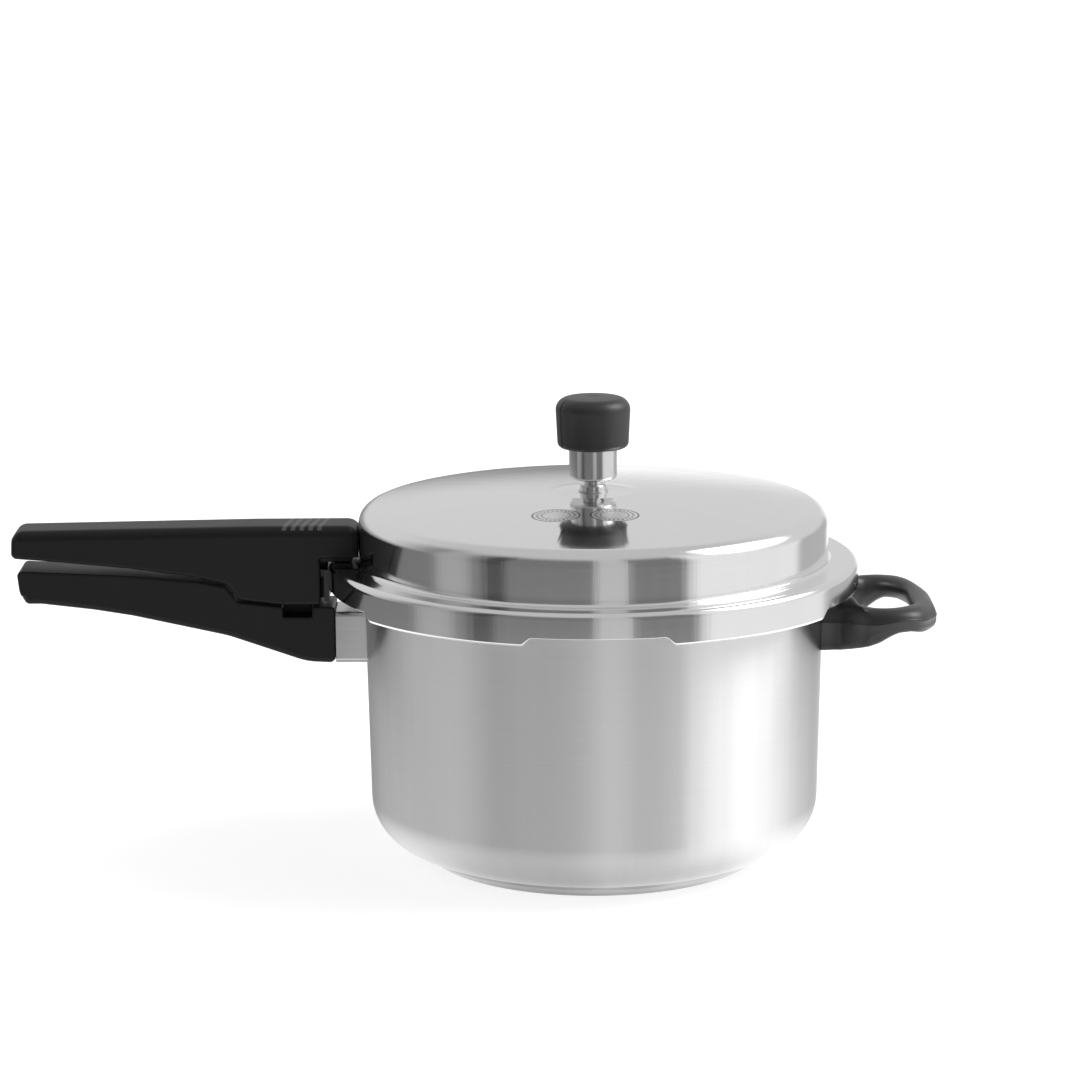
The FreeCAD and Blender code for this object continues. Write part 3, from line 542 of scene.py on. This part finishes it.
aluminium = plain_part("aluminium_grey", (0.75, 0.75, 0.76), 1.0, 0.35, 250.0)
alloy = plain_part("alloy_grey", (0.5, 0.5, 0.52), 1.0, 0.45, 500.0)
brass = plain_part("brass_turned", (0.78, 0.6, 0.3), 1.0, 0.28, 300.0)


# ---------------------------------------------------------------- lid

def dome_height(radius):
    """Height of the lid's outer face, with the faint pressed ring around the vent."""
    offset = (radius - PRESSED_RING_RADIUS) / PRESSED_RING_WIDTH
    ring = PRESSED_RING_HEIGHT * math.exp(-offset ** 2)
    return CROWN - radius * radius / (2 * DOME_RADIUS) + ring


def lid_section(angle):
    """The lid's sheet: dome, wall, flange and skirt, turned in under the rim on each lug."""
    share = lug_share(angle, LID_LUG_HALF)
    bottom = mix(SKIRT_BOTTOM, lid_low.z, share)
    inner = SKIRT_RADIUS - SHEET
    reach = mix(inner - 0.02 * MM, LID_LUG_REACH, share)
    edge = mix(0.35 * MM, 1.35 * MM, share)
    near = [r * MM for r in (7, 10, 13, 14.5, 15.5, 16.5, 17.5, 18.5, 19.5, 20.5, 22)]
    far = [r * MM for r in (28, 36, 44, 52, 60, 68, 76, 84, 91)]
    dome = [(r, dome_height(r), 0) for r in near + far]
    under = [(r, z - SHEET, 0) for r, z, _ in reversed(dome)]
    corners = [(VENT_HOLE, CROWN, 0)] + dome + [
        (LID_RADIUS, LID_EDGE, LID_SHOULDER),
        (LID_RADIUS, FLANGE, FLANGE_FILLET),
        (SKIRT_RADIUS, FLANGE, SKIRT_CORNER),
        (SKIRT_RADIUS, bottom, edge),
        (reach, bottom, CUT_EDGE),
        (reach, bottom + SHEET, CUT_EDGE),
        (inner, bottom + SHEET, CUT_EDGE),
        (inner, FLANGE - SHEET, SKIRT_CORNER - SHEET),
        (LID_RADIUS - SHEET, FLANGE - SHEET, FLANGE_FILLET + SHEET),
        (LID_RADIUS - SHEET, LID_EDGE - SHEET, LID_SHOULDER - SHEET),
    ] + under + [(VENT_HOLE, CROWN - SHEET, 0)]
    return rounded(corners, steps=7)


lid = lathe("lid_pressing", lid_section, lug_angles(288, LID_LUG_HALF))
dress(lid, top_steel, "lid", "stainless_steel", "lid_shell")


# ---------------------------------------------------------------- pan and base

def wall_radius(height):
    """Outer radius of the pan's straight, slightly flared wall."""
    low = PAN_FLOOR + PAN_CORNER
    high = RIM_TOP - SHEET - RIM_BEND
    return mix(PAN_LOW_RADIUS, PAN_RADIUS, (height - low) / (high - low))


def pan_section(angle):
    """The pan's sheet: floor, corner and wall, turned out and down at the rim and wider on a lug."""
    share = lug_share(angle, PAN_LUG_HALF)
    rim = mix(RIM_RADIUS, PAN_LUG_RADIUS, share)
    neck = wall_radius(RIM_TOP)
    foot = wall_radius(PAN_FLOOR)
    steps = [r * MM for r in (10, 25, 40, 55)]
    floor = [(r, PAN_FLOOR, 0) for r in steps]
    inside = [(r, PAN_FLOOR + SHEET, 0) for r in reversed(steps)]
    corners = [(0, PAN_FLOOR, 0)] + floor + [
        (foot, PAN_FLOOR, PAN_CORNER),
        (neck, RIM_TOP - SHEET, RIM_BEND),
        (rim - SHEET, RIM_TOP - SHEET, 0.5 * MM),
        (rim - SHEET, RIM_TOP - RIM_LIP, CUT_EDGE),
        (rim, RIM_TOP - RIM_LIP, CUT_EDGE),
        (rim, RIM_TOP, 1.5 * MM),
        (neck - SHEET, RIM_TOP, RIM_BEND + SHEET),
        (foot - SHEET, PAN_FLOOR + SHEET, PAN_CORNER - SHEET),
    ] + inside + [(0, PAN_FLOOR + SHEET, 0)]
    return rounded(corners, steps=10)


pan = lathe("pan_drawing", pan_section, lug_angles(288, PAN_LUG_HALF))
dress(pan, pan_steel, "pan", "stainless_steel", "pan_body")


def cap_section(_):
    """The cup pressed over the core disc, open at the top."""
    outer = cap_high.y
    inner = outer - CAP_SHEET
    steps = [r * MM for r in (12, 30, 48, 64)]
    under = [(r, 0, 0) for r in steps]
    inside = [(r, CAP_SHEET, 0) for r in reversed(steps)]
    corners = [(0, 0, 0)] + under + [
        (outer, 0, CAP_CORNER),
        (outer, cap_high.z, 0.35 * MM),
        (inner, cap_high.z - 0.2 * MM, 0.2 * MM),
        (inner, CAP_SHEET, CAP_CORNER - CAP_SHEET),
    ] + inside + [(0, CAP_SHEET, 0)]
    return rounded(corners, steps=6)


cup = lathe("base_cup", cap_section, even_angles(256))
dress(cup, base_steel, "pan", "stainless_steel", "base_cap")


# ---------------------------------------------------------------- gasket

def gasket_section(_):
    """A rubber ring with a V groove in its inner face."""
    inner = 104.6 * MM
    outer = gasket_high.y
    middle = (gasket_low.z + gasket_high.z) / 2
    return rounded([
        (inner, gasket_low.z, 0.6 * MM),
        (outer, gasket_low.z, 0.6 * MM),
        (outer, gasket_high.z, 2 * MM),
        (inner, gasket_high.z, 2 * MM),
        (inner, middle + 0.9 * MM, 0.4 * MM),
        (inner + 2.4 * MM, middle, 0.3 * MM),
        (inner, middle - 0.9 * MM, 0.4 * MM),
    ], steps=5)


gasket = lathe("gasket_ring", gasket_section, even_angles(192))
dress(gasket, rubber, "lid", "gasket_rubber", "sealing_gasket")


# ---------------------------------------------------------------- weight

KNOB_SEAM = math.radians(-90) + VIEW_TURN - math.radians(60)


def knob_section(angle):
    """Moulded cap with a fine parting groove down both sides."""
    offset = (angle - KNOB_SEAM + math.pi / 2) % math.pi - math.pi / 2
    seam = 0.5 * MM * math.exp(-(offset / math.radians(1.8)) ** 2)
    top = knob_high.z
    body = weight_high.x
    wide = KNOB_RADIUS - FIT - seam
    narrow = wide - 1.1 * MM
    dish = [(r, top - KNOB_DISH * (1 - (r / KNOB_DISH_RADIUS) ** 2) ** 2, 0)
            for r in (1.5 * MM, 3 * MM, 4.5 * MM, KNOB_DISH_RADIUS)]
    corners = [(0, top - KNOB_DISH, 0)] + dish + [
        (wide, top - 0.4 * MM, KNOB_SHOULDER),
        (narrow, knob_low.z, 4.2 * MM),
        (body + FIT, knob_low.z, 0.3 * MM),
        (body + FIT, weight_high.z, 0),
        (0, weight_high.z, 0),
    ]
    return rounded(corners, closed=False, steps=9)


def knob_angles():
    """Even angles, with extra ones across both grooves."""
    angles = set(even_angles(144))
    for side in (0, math.pi):
        for step in range(-8, 9):
            angles.add((KNOB_SEAM + side + math.radians(step * 0.45)) % math.tau)
    return sorted(angles)


knob = lathe("weight_knob", knob_section, knob_angles(), closed=False)
dress(knob, knob_black, "weight", "black_bakelite", "weight_cap")


def weight_section(_):
    """The steel weight, bored from below for the vent pipe and from above for its stud."""
    return rounded([
        (WEIGHT_BORE, weight_low.z, 0.4 * MM),
        (weight_high.x, weight_low.z, 1.8 * MM),
        (weight_high.x, weight_high.z, 0.2 * MM),
        (STUD_RADIUS, weight_high.z, 0),
        (STUD_RADIUS, WEIGHT_BORE_TOP, 0),
        (WEIGHT_BORE, WEIGHT_BORE_TOP, 0.2 * MM),
    ], steps=6)


slug = lathe("weight_slug", weight_section, even_angles(128))
dress(slug, turned_steel, "weight", "stainless_steel", "weight_body")


# ---------------------------------------------------------------- long handles

def path_normals(path):
    """Inward unit normals of a closed anticlockwise path."""
    normals = []
    count = len(path)
    for i in range(count):
        ahead = Vector(path[(i + 1) % count]) - Vector(path[i])
        behind = Vector(path[i]) - Vector(path[i - 1])
        ahead = ahead.normalized() if ahead.length > 1e-9 else behind.normalized()
        behind = behind.normalized() if behind.length > 1e-9 else ahead
        way = (ahead + behind).normalized()
        normals.append(Vector((-way.y, way.x)))
    return normals


def is_anticlockwise(path):
    area = 0
    for (x0, y0), (x1, y1) in zip(path, path[1:] + path[:1]):
        area += x0 * y1 - x1 * y0
    return area > 0


def thin_path(path, least):
    """Drop points that crowd their neighbour."""
    kept = [path[0]]
    for point in path[1:]:
        if (Vector(point) - Vector(kept[-1])).length > least:
            kept.append(point)
    return kept


def moulded_bar(corners, half_width, radius_at, steps=6, turn_steps=9):
    """A bar with an XZ outline, as wide as 2 * half_width, its side edges rounded by
    radius_at(x, z, inward normal)."""
    path = thin_path(rounded(corners, steps=turn_steps), 0.05 * MM)
    if not is_anticlockwise(path):
        path.reverse()
    normals = path_normals(path)
    vertices, rings = [], []
    for (x, z), inward in zip(path, normals):
        radius = radius_at(x, z, inward)
        profile = []
        for i in range(steps + 1):
            sweep = math.pi / 2 * (1 - i / steps)
            profile.append((-half_width + radius * (1 - math.sin(sweep)),
                            radius * (1 - math.cos(sweep))))
        flat = half_width - radius
        profile.extend((flat * share, 0) for share in (-0.5, 0, 0.5))
        mirrored = [(-y, depth) for y, depth in reversed(profile[:steps + 1])]
        ring = []
        for y, depth in profile + mirrored:
            ring.append(len(vertices))
            vertices.append((x + inward.x * depth, y, z + inward.y * depth))
        rings.append(ring)
    faces = []
    for i, ring in enumerate(rings):
        following = rings[(i + 1) % len(rings)]
        for j in range(len(ring) - 1):
            faces.append((ring[j], ring[j + 1], following[j + 1], following[j]))
    faces.append(tuple(ring[0] for ring in rings))
    faces.append(tuple(ring[-1] for ring in reversed(rings)))
    return vertices, faces


def upper_edge_radius(x, z, inward):
    """Large rounding along the top and the nose, small underneath."""
    if inward.y < -0.4:
        return 4.6 * MM
    if inward.x < -0.7 and x > -112 * MM:
        return 4.6 * MM
    if x < upper_low.x + 9 * MM:
        return mix(1.3 * MM, 4.2 * MM, min(max((z - upper_low.z) / (30 * MM) - 0.6, 0), 1))
    return 1.3 * MM


def make_upper_handle():
    """The lid's handle, its nose hollowed to the lid's wall, with the web in its cut-out."""
    top, tip = upper_high.z, upper_low.x
    seat = upper_low.z
    web_back, web_top = -122.5 * MM, 139 * MM
    corners = [(x * MM, z * MM, r * MM) for x, z, r in [
        (-102.8, 137.2, 1.5),
        (-102.8, top / MM, 6.5),
        (-150, top / MM, 60),
        (tip / MM + 0.4, 149.7, 5),
        (tip / MM, 137.7, 2.6),
        (-236.6, 136.1, 60),
        (-204, 132.9, 90),
        (-174, 128.6, 18),
        (-162, 125.5, 3.5),
        (-156.5, 118.5, 3.5),
        (-137.5, seat / MM, 18),
        (-120.8, seat / MM, 1.6),
        (-120.8, 137.2, 0.8),
    ]]
    vertices, faces = moulded_bar(corners, HANDLE_HALF, upper_edge_radius)
    shaped = []
    for x, y, z in vertices:
        reach = math.hypot(x, y)
        least = LID_RADIUS + 0.25 * MM
        if x > -110 * MM and reach < least:
            x = -math.sqrt(least * least - y * y)
        shaped.append((x, y, z))
    web = make_web((web_back, seat + 1.2 * MM), (-117.8 * MM, web_top), WEB_HALF)
    foot = make_web((web_back, FLANGE + 0.2 * MM), (-106.5 * MM, web_top), 9.5 * MM)
    return new_piece("upper_grip", *join_meshes((shaped, faces), web, foot))


def join_meshes(*parts):
    """One list of vertices and one of faces from several."""
    vertices, faces = [], []
    for part_vertices, part_faces in parts:
        start = len(vertices)
        vertices.extend(part_vertices)
        faces.extend(tuple(start + i for i in face) for face in part_faces)
    return vertices, faces


def small_edge_radius(x, z, inward):
    return 0.6 * MM


def make_web(low, high, half_width):
    """A thin upright web between two XZ corners, inside a moulding's recess."""
    corners = [(low[0], low[1], WEB_EDGE), (high[0], low[1], WEB_EDGE),
               (high[0], high[1], WEB_EDGE), (low[0], high[1], WEB_EDGE)]
    return moulded_bar(corners, half_width, small_edge_radius, turn_steps=3)


def lower_edge_radius(x, z, inward):
    """Rounded underneath, crisp along the top where the two handles meet."""
    if inward.y > 0.4:
        return 2.6 * MM
    return 1.0 * MM


def make_lower_handle():
    """The pan's handle, in mm like its corners, with the catch slot and the web in it."""
    seat = 115.1
    slot = seat - 4.5
    front = guard_low.x / MM - 0.1
    corners = [(x * MM, z * MM, r * MM) for x, z, r in [
        (front, seat, 1.2),
        (-124.8, seat, 0.6),
        (-124.8, slot, 0.8),
        (-137.5, slot, 0.8),
        (-137.5, seat, 1.0),
        (-157.5, 117.4, 3.5),
        (-163, 124.4, 3.5),
        (-174, 126.6, 18),
        (-204, 129.6, 90),
        (-254.7, 132.2, 2.2),
        (-253.6, 122, 14),
        (-250.8, 117.1, 2.6),
        (-244.2, 117.1, 5),
        (-221, 114.3, 60),
        (-204, 111.5, 60),
        (-162, 102.2, 60),
        (-127.5, 90.2, 30),
        (front, 89.5, 2.6),
    ]]
    bar = moulded_bar(corners, HANDLE_HALF, lower_edge_radius)
    web = make_web((-139 * MM, 108 * MM), (-123 * MM, (seat - 0.4) * MM), WEB_HALF)
    return new_piece("lower_grip", *join_meshes(bar, web))


upper_grip = make_upper_handle()
dress(upper_grip, upper_black, "lid", "black_bakelite", "upper_handle")
lower_grip = make_lower_handle()
dress(lower_grip, handle_black, "pan", "black_bakelite", "lower_handle")


# ---------------------------------------------------------------- flame guard

def make_flame_guard():
    """Square sleeve with rounded edges that ends on the pan's wall."""
    half = guard_high.y
    end = guard_low.x

    def frame_path(inset):
        corner = max(2.2 * MM - inset, 0.8 * MM)
        low, high = guard_low.z + inset, guard_high.z - inset
        side = half - inset
        return rounded([(-side, low, corner), (side, low, corner),
                        (side, high, corner), (-side, high, corner)], steps=6)

    rows = [(0.35 * MM, 0.0), (0.1 * MM, 0.1 * MM), (0.0, 0.35 * MM)]
    loops = []
    for inset, back in rows:
        loops.append([(end + back, y, z) for y, z in frame_path(inset)])
    wall = []
    for y, z in frame_path(0.0):
        reach = wall_radius(z) + GUARD_GAP
        wall.append((-math.sqrt(reach * reach - y * y), y, z))
    loops.append(wall)
    inner_wall = []
    for y, z in frame_path(GUARD_SHEET):
        reach = wall_radius(z) + GUARD_GAP
        inner_wall.append((-math.sqrt(reach * reach - y * y), y, z))
    loops.append(inner_wall)
    loops.append([(end, y, z) for y, z in frame_path(GUARD_SHEET)])
    vertices = [v for loop in loops for v in loop]
    size = len(loops[0])
    faces = []
    for i in range(len(loops)):
        j = (i + 1) % len(loops)
        for k in range(size):
            n = (k + 1) % size
            faces.append((i * size + k, i * size + n, j * size + n, j * size + k))
    return new_piece("guard_sleeve", vertices, faces)


guard = make_flame_guard()
dress(guard, sheet_steel, "pan", "stainless_steel", "flame_guard")


# ---------------------------------------------------------------- helper handle

def soften(corners, spread):
    """A closed rounded path, evened out so that its curvature changes gently."""
    path = rounded(corners, steps=10)
    step = 1 * MM
    even = []
    for (x0, y0), (x1, y1) in zip(path, path[1:] + path[:1]):
        count = max(1, round(math.hypot(x1 - x0, y1 - y0) / step))
        even.extend((mix(x0, x1, i / count), mix(y0, y1, i / count)) for i in range(count))
    for _ in range(round(2 * (spread / step) ** 2)):
        even = [((even[i - 1][0] + 2 * x + even[(i + 1) % len(even)][0]) / 4,
                 (even[i - 1][1] + 2 * y + even[(i + 1) % len(even)][1]) / 4)
                for i, (x, y) in enumerate(even)]
    return even


def ray_reach(outline, centre, angle):
    """Distance from a centre to a closed outline along a direction."""
    way = Vector((math.cos(angle), math.sin(angle)))
    best = None
    for a, b in zip(outline, outline[1:] + outline[:1]):
        start = Vector(a) - centre
        span = Vector(b) - Vector(a)
        cross = way.x * span.y - way.y * span.x
        if abs(cross) < 1e-15:
            continue
        reach = (start.x * span.y - start.y * span.x) / cross
        share = (start.x * way.y - start.y * way.x) / cross
        if reach > 0 and -1e-9 <= share <= 1 + 1e-9 and (best is None or reach > best):
            best = reach
    return best


def smooth_step(value, low, high):
    share = min(max((value - low) / (high - low), 0), 1)
    return share * share * (3 - 2 * share)


def loop_under(x, y):
    """Underside of the loop: deep at the root, thin round the ring, lower at the far end."""
    flare = 0.24 * max(abs(y) - 18 * MM, 0)
    deep = loop_low.z + 0.1 * MM + flare + 0.06 * max(x - PAN_RADIUS, 0)
    ring = 106.4 * MM - 4.0 * MM * min(max((x - 138 * MM) / (14 * MM), 0), 1)
    return mix(deep, ring, smooth_step(x, 121 * MM, 134 * MM))


def loop_top(x):
    """Top of the loop: a little lower at the wall and at the far end."""
    high = mix(116 * MM, loop_high.z - 0.1 * MM, smooth_step(x, 104 * MM, 118 * MM))
    return high - 2.8 * MM * min(max((x - 137 * MM) / (15 * MM), 0), 1) ** 1.5


def signed_power(value, power):
    return math.copysign(abs(value) ** power, value)


def loop_profile(root):
    """One section of the loop as (share of the width, height) points, both -1..1."""
    low_power = 2 / mix(2.3, 14.0, root)
    high_power = 2 / mix(2.3, 4.5, root)
    across = 40
    points = []
    for j in range(1, across):
        turn = math.tau * j / across
        power = high_power if turn < math.pi else low_power
        points.append((signed_power(math.cos(turn), power), signed_power(math.sin(turn), power)))
    return points


def make_helper_handle():
    """A ring swept around its finger hole, deep and square at the root, round at the far end,
    with a fine parting line around its outside."""
    tip = loop_high.x / MM - 0.6
    half = loop_high.y / MM
    outer = soften([(x * MM, y * MM, r * MM) for x, y, r in [
        (92, -17, 1), (107.5, -17.5, 6), (118, -39, 10), (130, -half, 14),
        (143.5, -37.5, 18), (tip, -14, 24), (tip, 14, 24), (143.5, 37.5, 18),
        (130, half, 14), (118, 39, 10), (107.5, 17.5, 6), (92, 17, 1)]], 2.2 * MM)
    inner = soften([(x * MM, y * MM, r * MM) for x, y, r in [
        (116.8, -27.5, 13), (130, -30.4, 10), (140.4, -19, 14), (140.4, 19, 14),
        (130, 30.4, 10), (116.8, 27.5, 13)]], 2.2 * MM)
    centre = Vector((128 * MM, 0))
    around = 192
    seam = [(-0.3 * MM, 0), (-0.12 * MM, 0.16 * MM), (0.12 * MM, 0.16 * MM), (0.3 * MM, 0)]
    vertices, rings = [], []
    for i in range(around):
        angle = math.tau * i / around
        way = Vector((math.cos(angle), math.sin(angle)))
        near = centre + way * ray_reach(inner, centre, angle)
        far = centre + way * ray_reach(outer, centre, angle)
        root = min(max((122 * MM - (near.x + far.x) / 2) / (12 * MM), 0), 1)
        ring = []

        def add_point(place, z):
            x, y = place
            reach = wall_radius(z) + FIT
            if math.hypot(x, y) < reach:
                x = math.sqrt(reach * reach - y * y)
            ring.append(len(vertices))
            vertices.append((x, y, z))

        middle = mix(loop_under(far.x, far.y), loop_top(far.x), 0.6)
        for offset, out in seam:
            add_point(far + way * out, middle + offset)
        for share, height in loop_profile(root):
            share = (share + 1) / 2
            place = near.lerp(far, share)
            low, high = loop_under(place.x, place.y), loop_top(place.x)
            low += 3 * MM * (1 - share) * (1 - root)
            add_point(place, (low + high) / 2 + (high - low) / 2 * height)
        rings.append(ring)
    return new_piece("loop_grip", vertices, ring_faces(rings), even_normals=False)


loop_grip = make_helper_handle()
dress(loop_grip, loop_black, "pan", "black_bakelite", "helper_handle")


# ---------------------------------------------------------------- small carried-over parts

FINISHES = {
    "base_core_disc": aluminium,
    "pan_handle_bracket": sheet_steel,
    "helper_bracket": sheet_steel,
    "lower_handle_screw": turned_steel,
    "helper_screw": turned_steel,
    # The bracket's near-black steel is painted shade for the upper handle's cut-out.
    "lid_handle_bracket": painted_shade_bracket_steel,
    "upper_handle_screws": turned_steel,
    "vent_pipe": turned_steel,
    "vent_washer": aluminium,
    "vent_nut": turned_steel,
    "safety_valve_body": brass,
    "safety_valve_plug": alloy,
    "safety_valve_washer": rubber,
    "safety_valve_nut": brass,
    "weight_stud": turned_steel,
    "weight_pin": turned_steel,
    "weight_clip": turned_steel,
}
for node, material in FINISHES.items():
    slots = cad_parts[node].data.materials
    slots.clear()
    slots.append(material)


# ---------------------------------------------------------------- floor, lights, camera

def make_floor():
    """A wide white floor. It glows a little, so that it stays white far from the object."""
    size = 30
    mesh = bpy.data.meshes.new("floor")
    mesh.from_pydata([(-size, -size, 0), (size, -size, 0), (size, size, 0), (-size, size, 0)],
                     [], [(0, 1, 2, 3)])
    floor = bpy.data.objects.new("floor", mesh)
    bpy.context.scene.collection.objects.link(floor)
    floor.location.z = -0.05 * MM
    material, nodes, shader = new_material("floor_white")
    shader.inputs["Base Color"].default_value = (0.55, 0.55, 0.55, 1)
    shader.inputs["Roughness"].default_value = 0.9
    shader.inputs["Specular IOR Level"].default_value = 0.0
    shader.inputs["Emission Color"].default_value = (1, 1, 1, 1)
    shader.inputs["Emission Strength"].default_value = 0.72
    mesh.materials.append(material)
    floor.visible_glossy = False


# A soft round lamp high on the right: azimuth in degrees, elevation, strength, and the
# distances in degrees from its middle over which it fades out.
KEY_TURN = 96.0
KEY_RISE = math.radians(41)
KEY_STRENGTH = 9.0
KEY_FADE = (6.0, 26.0)

# Levels of the surround: round the room, on the table, behind the object and overhead.
ROOM_LEVEL = 0.24
TABLE_LEVEL = 1.5
NEAR_TABLE_SHARE = 0.5
BEHIND_LEVEL = 0.86
CEILING_LEVEL = 0.7

# Where one level blends into the next: elevations, then azimuths to either side, in degrees.
NEAR_TABLE_RISE = (-60.0, -32.0)
TABLE_EDGE_RISE = (-25.0, -13.0)
BEHIND_RISE = (-2.0, 10.0)
CEILING_RISE = (30.0, 60.0)
BEHIND_TURN = (75.0, 125.0)

# Panels of the surround: start and end azimuth and edge softness in degrees, then strength.
ROOM_PANELS = (
    (47, 118, 6, 0.86),
    (118, 160, 7, 0.36),
    (160, 186, 6, 1.1),
    (-186, -172, 5, 0.1),
    (-172, -132, 8, 0.14),
    (-82, -62, 6, 0.24),
    (-54, -43, 3, -0.15),
    (1, 17, 3, 0.42),
)
TABLE_PANELS = (
    (-150, -85, 10, 0.22),
    (-10, 186, 12, 0.33),
    (45, 172, 10, 0.2),
)


def make_world():
    """Studio surround, seen by the steel: wide soft panels on the right, a narrow strip in front,
    grey on the left, a bright table below that is darker close in, a light ceiling and a soft
    round key lamp. The camera itself sees plain white. Azimuth 0 is the viewer's side, and
    positive is to the right."""
    world = bpy.data.worlds.new("studio")
    bpy.context.scene.world = world
    world.use_nodes = True
    tree = world.node_tree
    tree.nodes.clear()
    nodes = Nodes(tree)
    place = nodes.add("ShaderNodeTexCoord").outputs["Generated"]
    split = nodes.add("ShaderNodeSeparateXYZ")
    nodes.join(place, split.inputs[0])
    x, y, z = split.outputs[0], split.outputs[1], split.outputs[2]
    cosine, sine = math.cos(VIEW_TURN), math.sin(VIEW_TURN)
    ahead = nodes.math("SUBTRACT", nodes.math("MULTIPLY", x, sine),
                       nodes.math("MULTIPLY", y, cosine))
    right = nodes.math("ADD", nodes.math("MULTIPLY", x, cosine), nodes.math("MULTIPLY", y, sine))
    turn = nodes.math("DEGREES", nodes.math("ARCTAN2", right, ahead))
    rise = nodes.math("DEGREES", nodes.math("ARCSINE", z))

    def panels(base, parts):
        """Light by azimuth: a base level and upright panels (start, end, softness, strength)."""
        light = base
        for start, end, soft, strength in parts:
            opening = nodes.smooth(turn, start - soft, start + soft)
            closing = nodes.smooth(turn, end - soft, end + soft)
            panel = nodes.math("MULTIPLY", nodes.math("SUBTRACT", opening, closing), strength)
            light = nodes.math("ADD", light, panel)
        return light

    def blend(share, a, b):
        return nodes.math("ADD", nodes.math("MULTIPLY", a, nodes.math("SUBTRACT", 1.0, share)),
                          nodes.math("MULTIPLY", share, b))

    middle = panels(ROOM_LEVEL, ROOM_PANELS)
    table = panels(TABLE_LEVEL, TABLE_PANELS)
    near_floor = nodes.math("MULTIPLY", table, NEAR_TABLE_SHARE)
    light = blend(nodes.smooth(rise, *NEAR_TABLE_RISE), near_floor, table)
    light = blend(nodes.smooth(rise, *TABLE_EDGE_RISE), light, middle)
    behind = nodes.math("MULTIPLY", nodes.smooth(rise, *BEHIND_RISE),
                        nodes.smooth(nodes.math("ABSOLUTE", turn), *BEHIND_TURN))
    light = blend(behind, light, BEHIND_LEVEL)
    light = blend(nodes.smooth(rise, *CEILING_RISE), light, CEILING_LEVEL)
    aside = nodes.math("MULTIPLY", nodes.math("SUBTRACT", turn, KEY_TURN), math.cos(KEY_RISE))
    above = nodes.math("SUBTRACT", rise, math.degrees(KEY_RISE))
    reach = nodes.length(aside, above)
    key = nodes.math("MULTIPLY", nodes.smooth(reach, *KEY_FADE, 1.0, 0.0), KEY_STRENGTH)
    light = nodes.math("ADD", light, key)
    surround = nodes.add("ShaderNodeBackground")
    nodes.join(light, surround.inputs["Strength"])
    plain = nodes.add("ShaderNodeBackground")
    plain.inputs["Strength"].default_value = 1.0
    plain.inputs["Color"].default_value = (1, 1, 1, 1)
    chooser = nodes.add("ShaderNodeMixShader")
    nodes.join(nodes.add("ShaderNodeLightPath").outputs["Is Camera Ray"], chooser.inputs[0])
    nodes.join(surround.outputs[0], chooser.inputs[1])
    nodes.join(plain.outputs[0], chooser.inputs[2])
    nodes.join(chooser.outputs[0], nodes.add("ShaderNodeOutputWorld").inputs[0])


# How far the middle of the picture lies left of and above the lid's centre.
AIM_RIGHT = 23.7 * MM
AIM_UP = 5.1 * MM


def make_camera():
    """Camera at the product shot's angle: from the front and slightly above."""
    back = Vector((math.sin(VIEW_TURN) * math.cos(VIEW_RISE),
                   -math.cos(VIEW_TURN) * math.cos(VIEW_RISE), math.sin(VIEW_RISE)))
    right = Vector((math.cos(VIEW_TURN), math.sin(VIEW_TURN), 0))
    up = back.cross(right)
    centre = Vector((0, 0, FLANGE + 2.3 * MM))
    place = centre + back * VIEW_DISTANCE
    aim = centre - right * AIM_RIGHT + up * AIM_UP
    look = (aim - place).to_track_quat("-Z", "Y").to_matrix().to_4x4()
    data = bpy.data.cameras.new("camera")
    data.sensor_width = 36
    data.lens = 36 / (1080 * PIXEL)
    data.clip_end = 100
    camera = bpy.data.objects.new("camera", data)
    bpy.context.scene.collection.objects.link(camera)
    camera.matrix_world = Matrix.Translation(place) @ look @ Matrix.Rotation(VIEW_ROLL, 4, "Z")
    bpy.context.scene.camera = camera


make_floor()
make_world()
make_camera()
bpy.context.scene.view_settings.view_transform = "Standard"
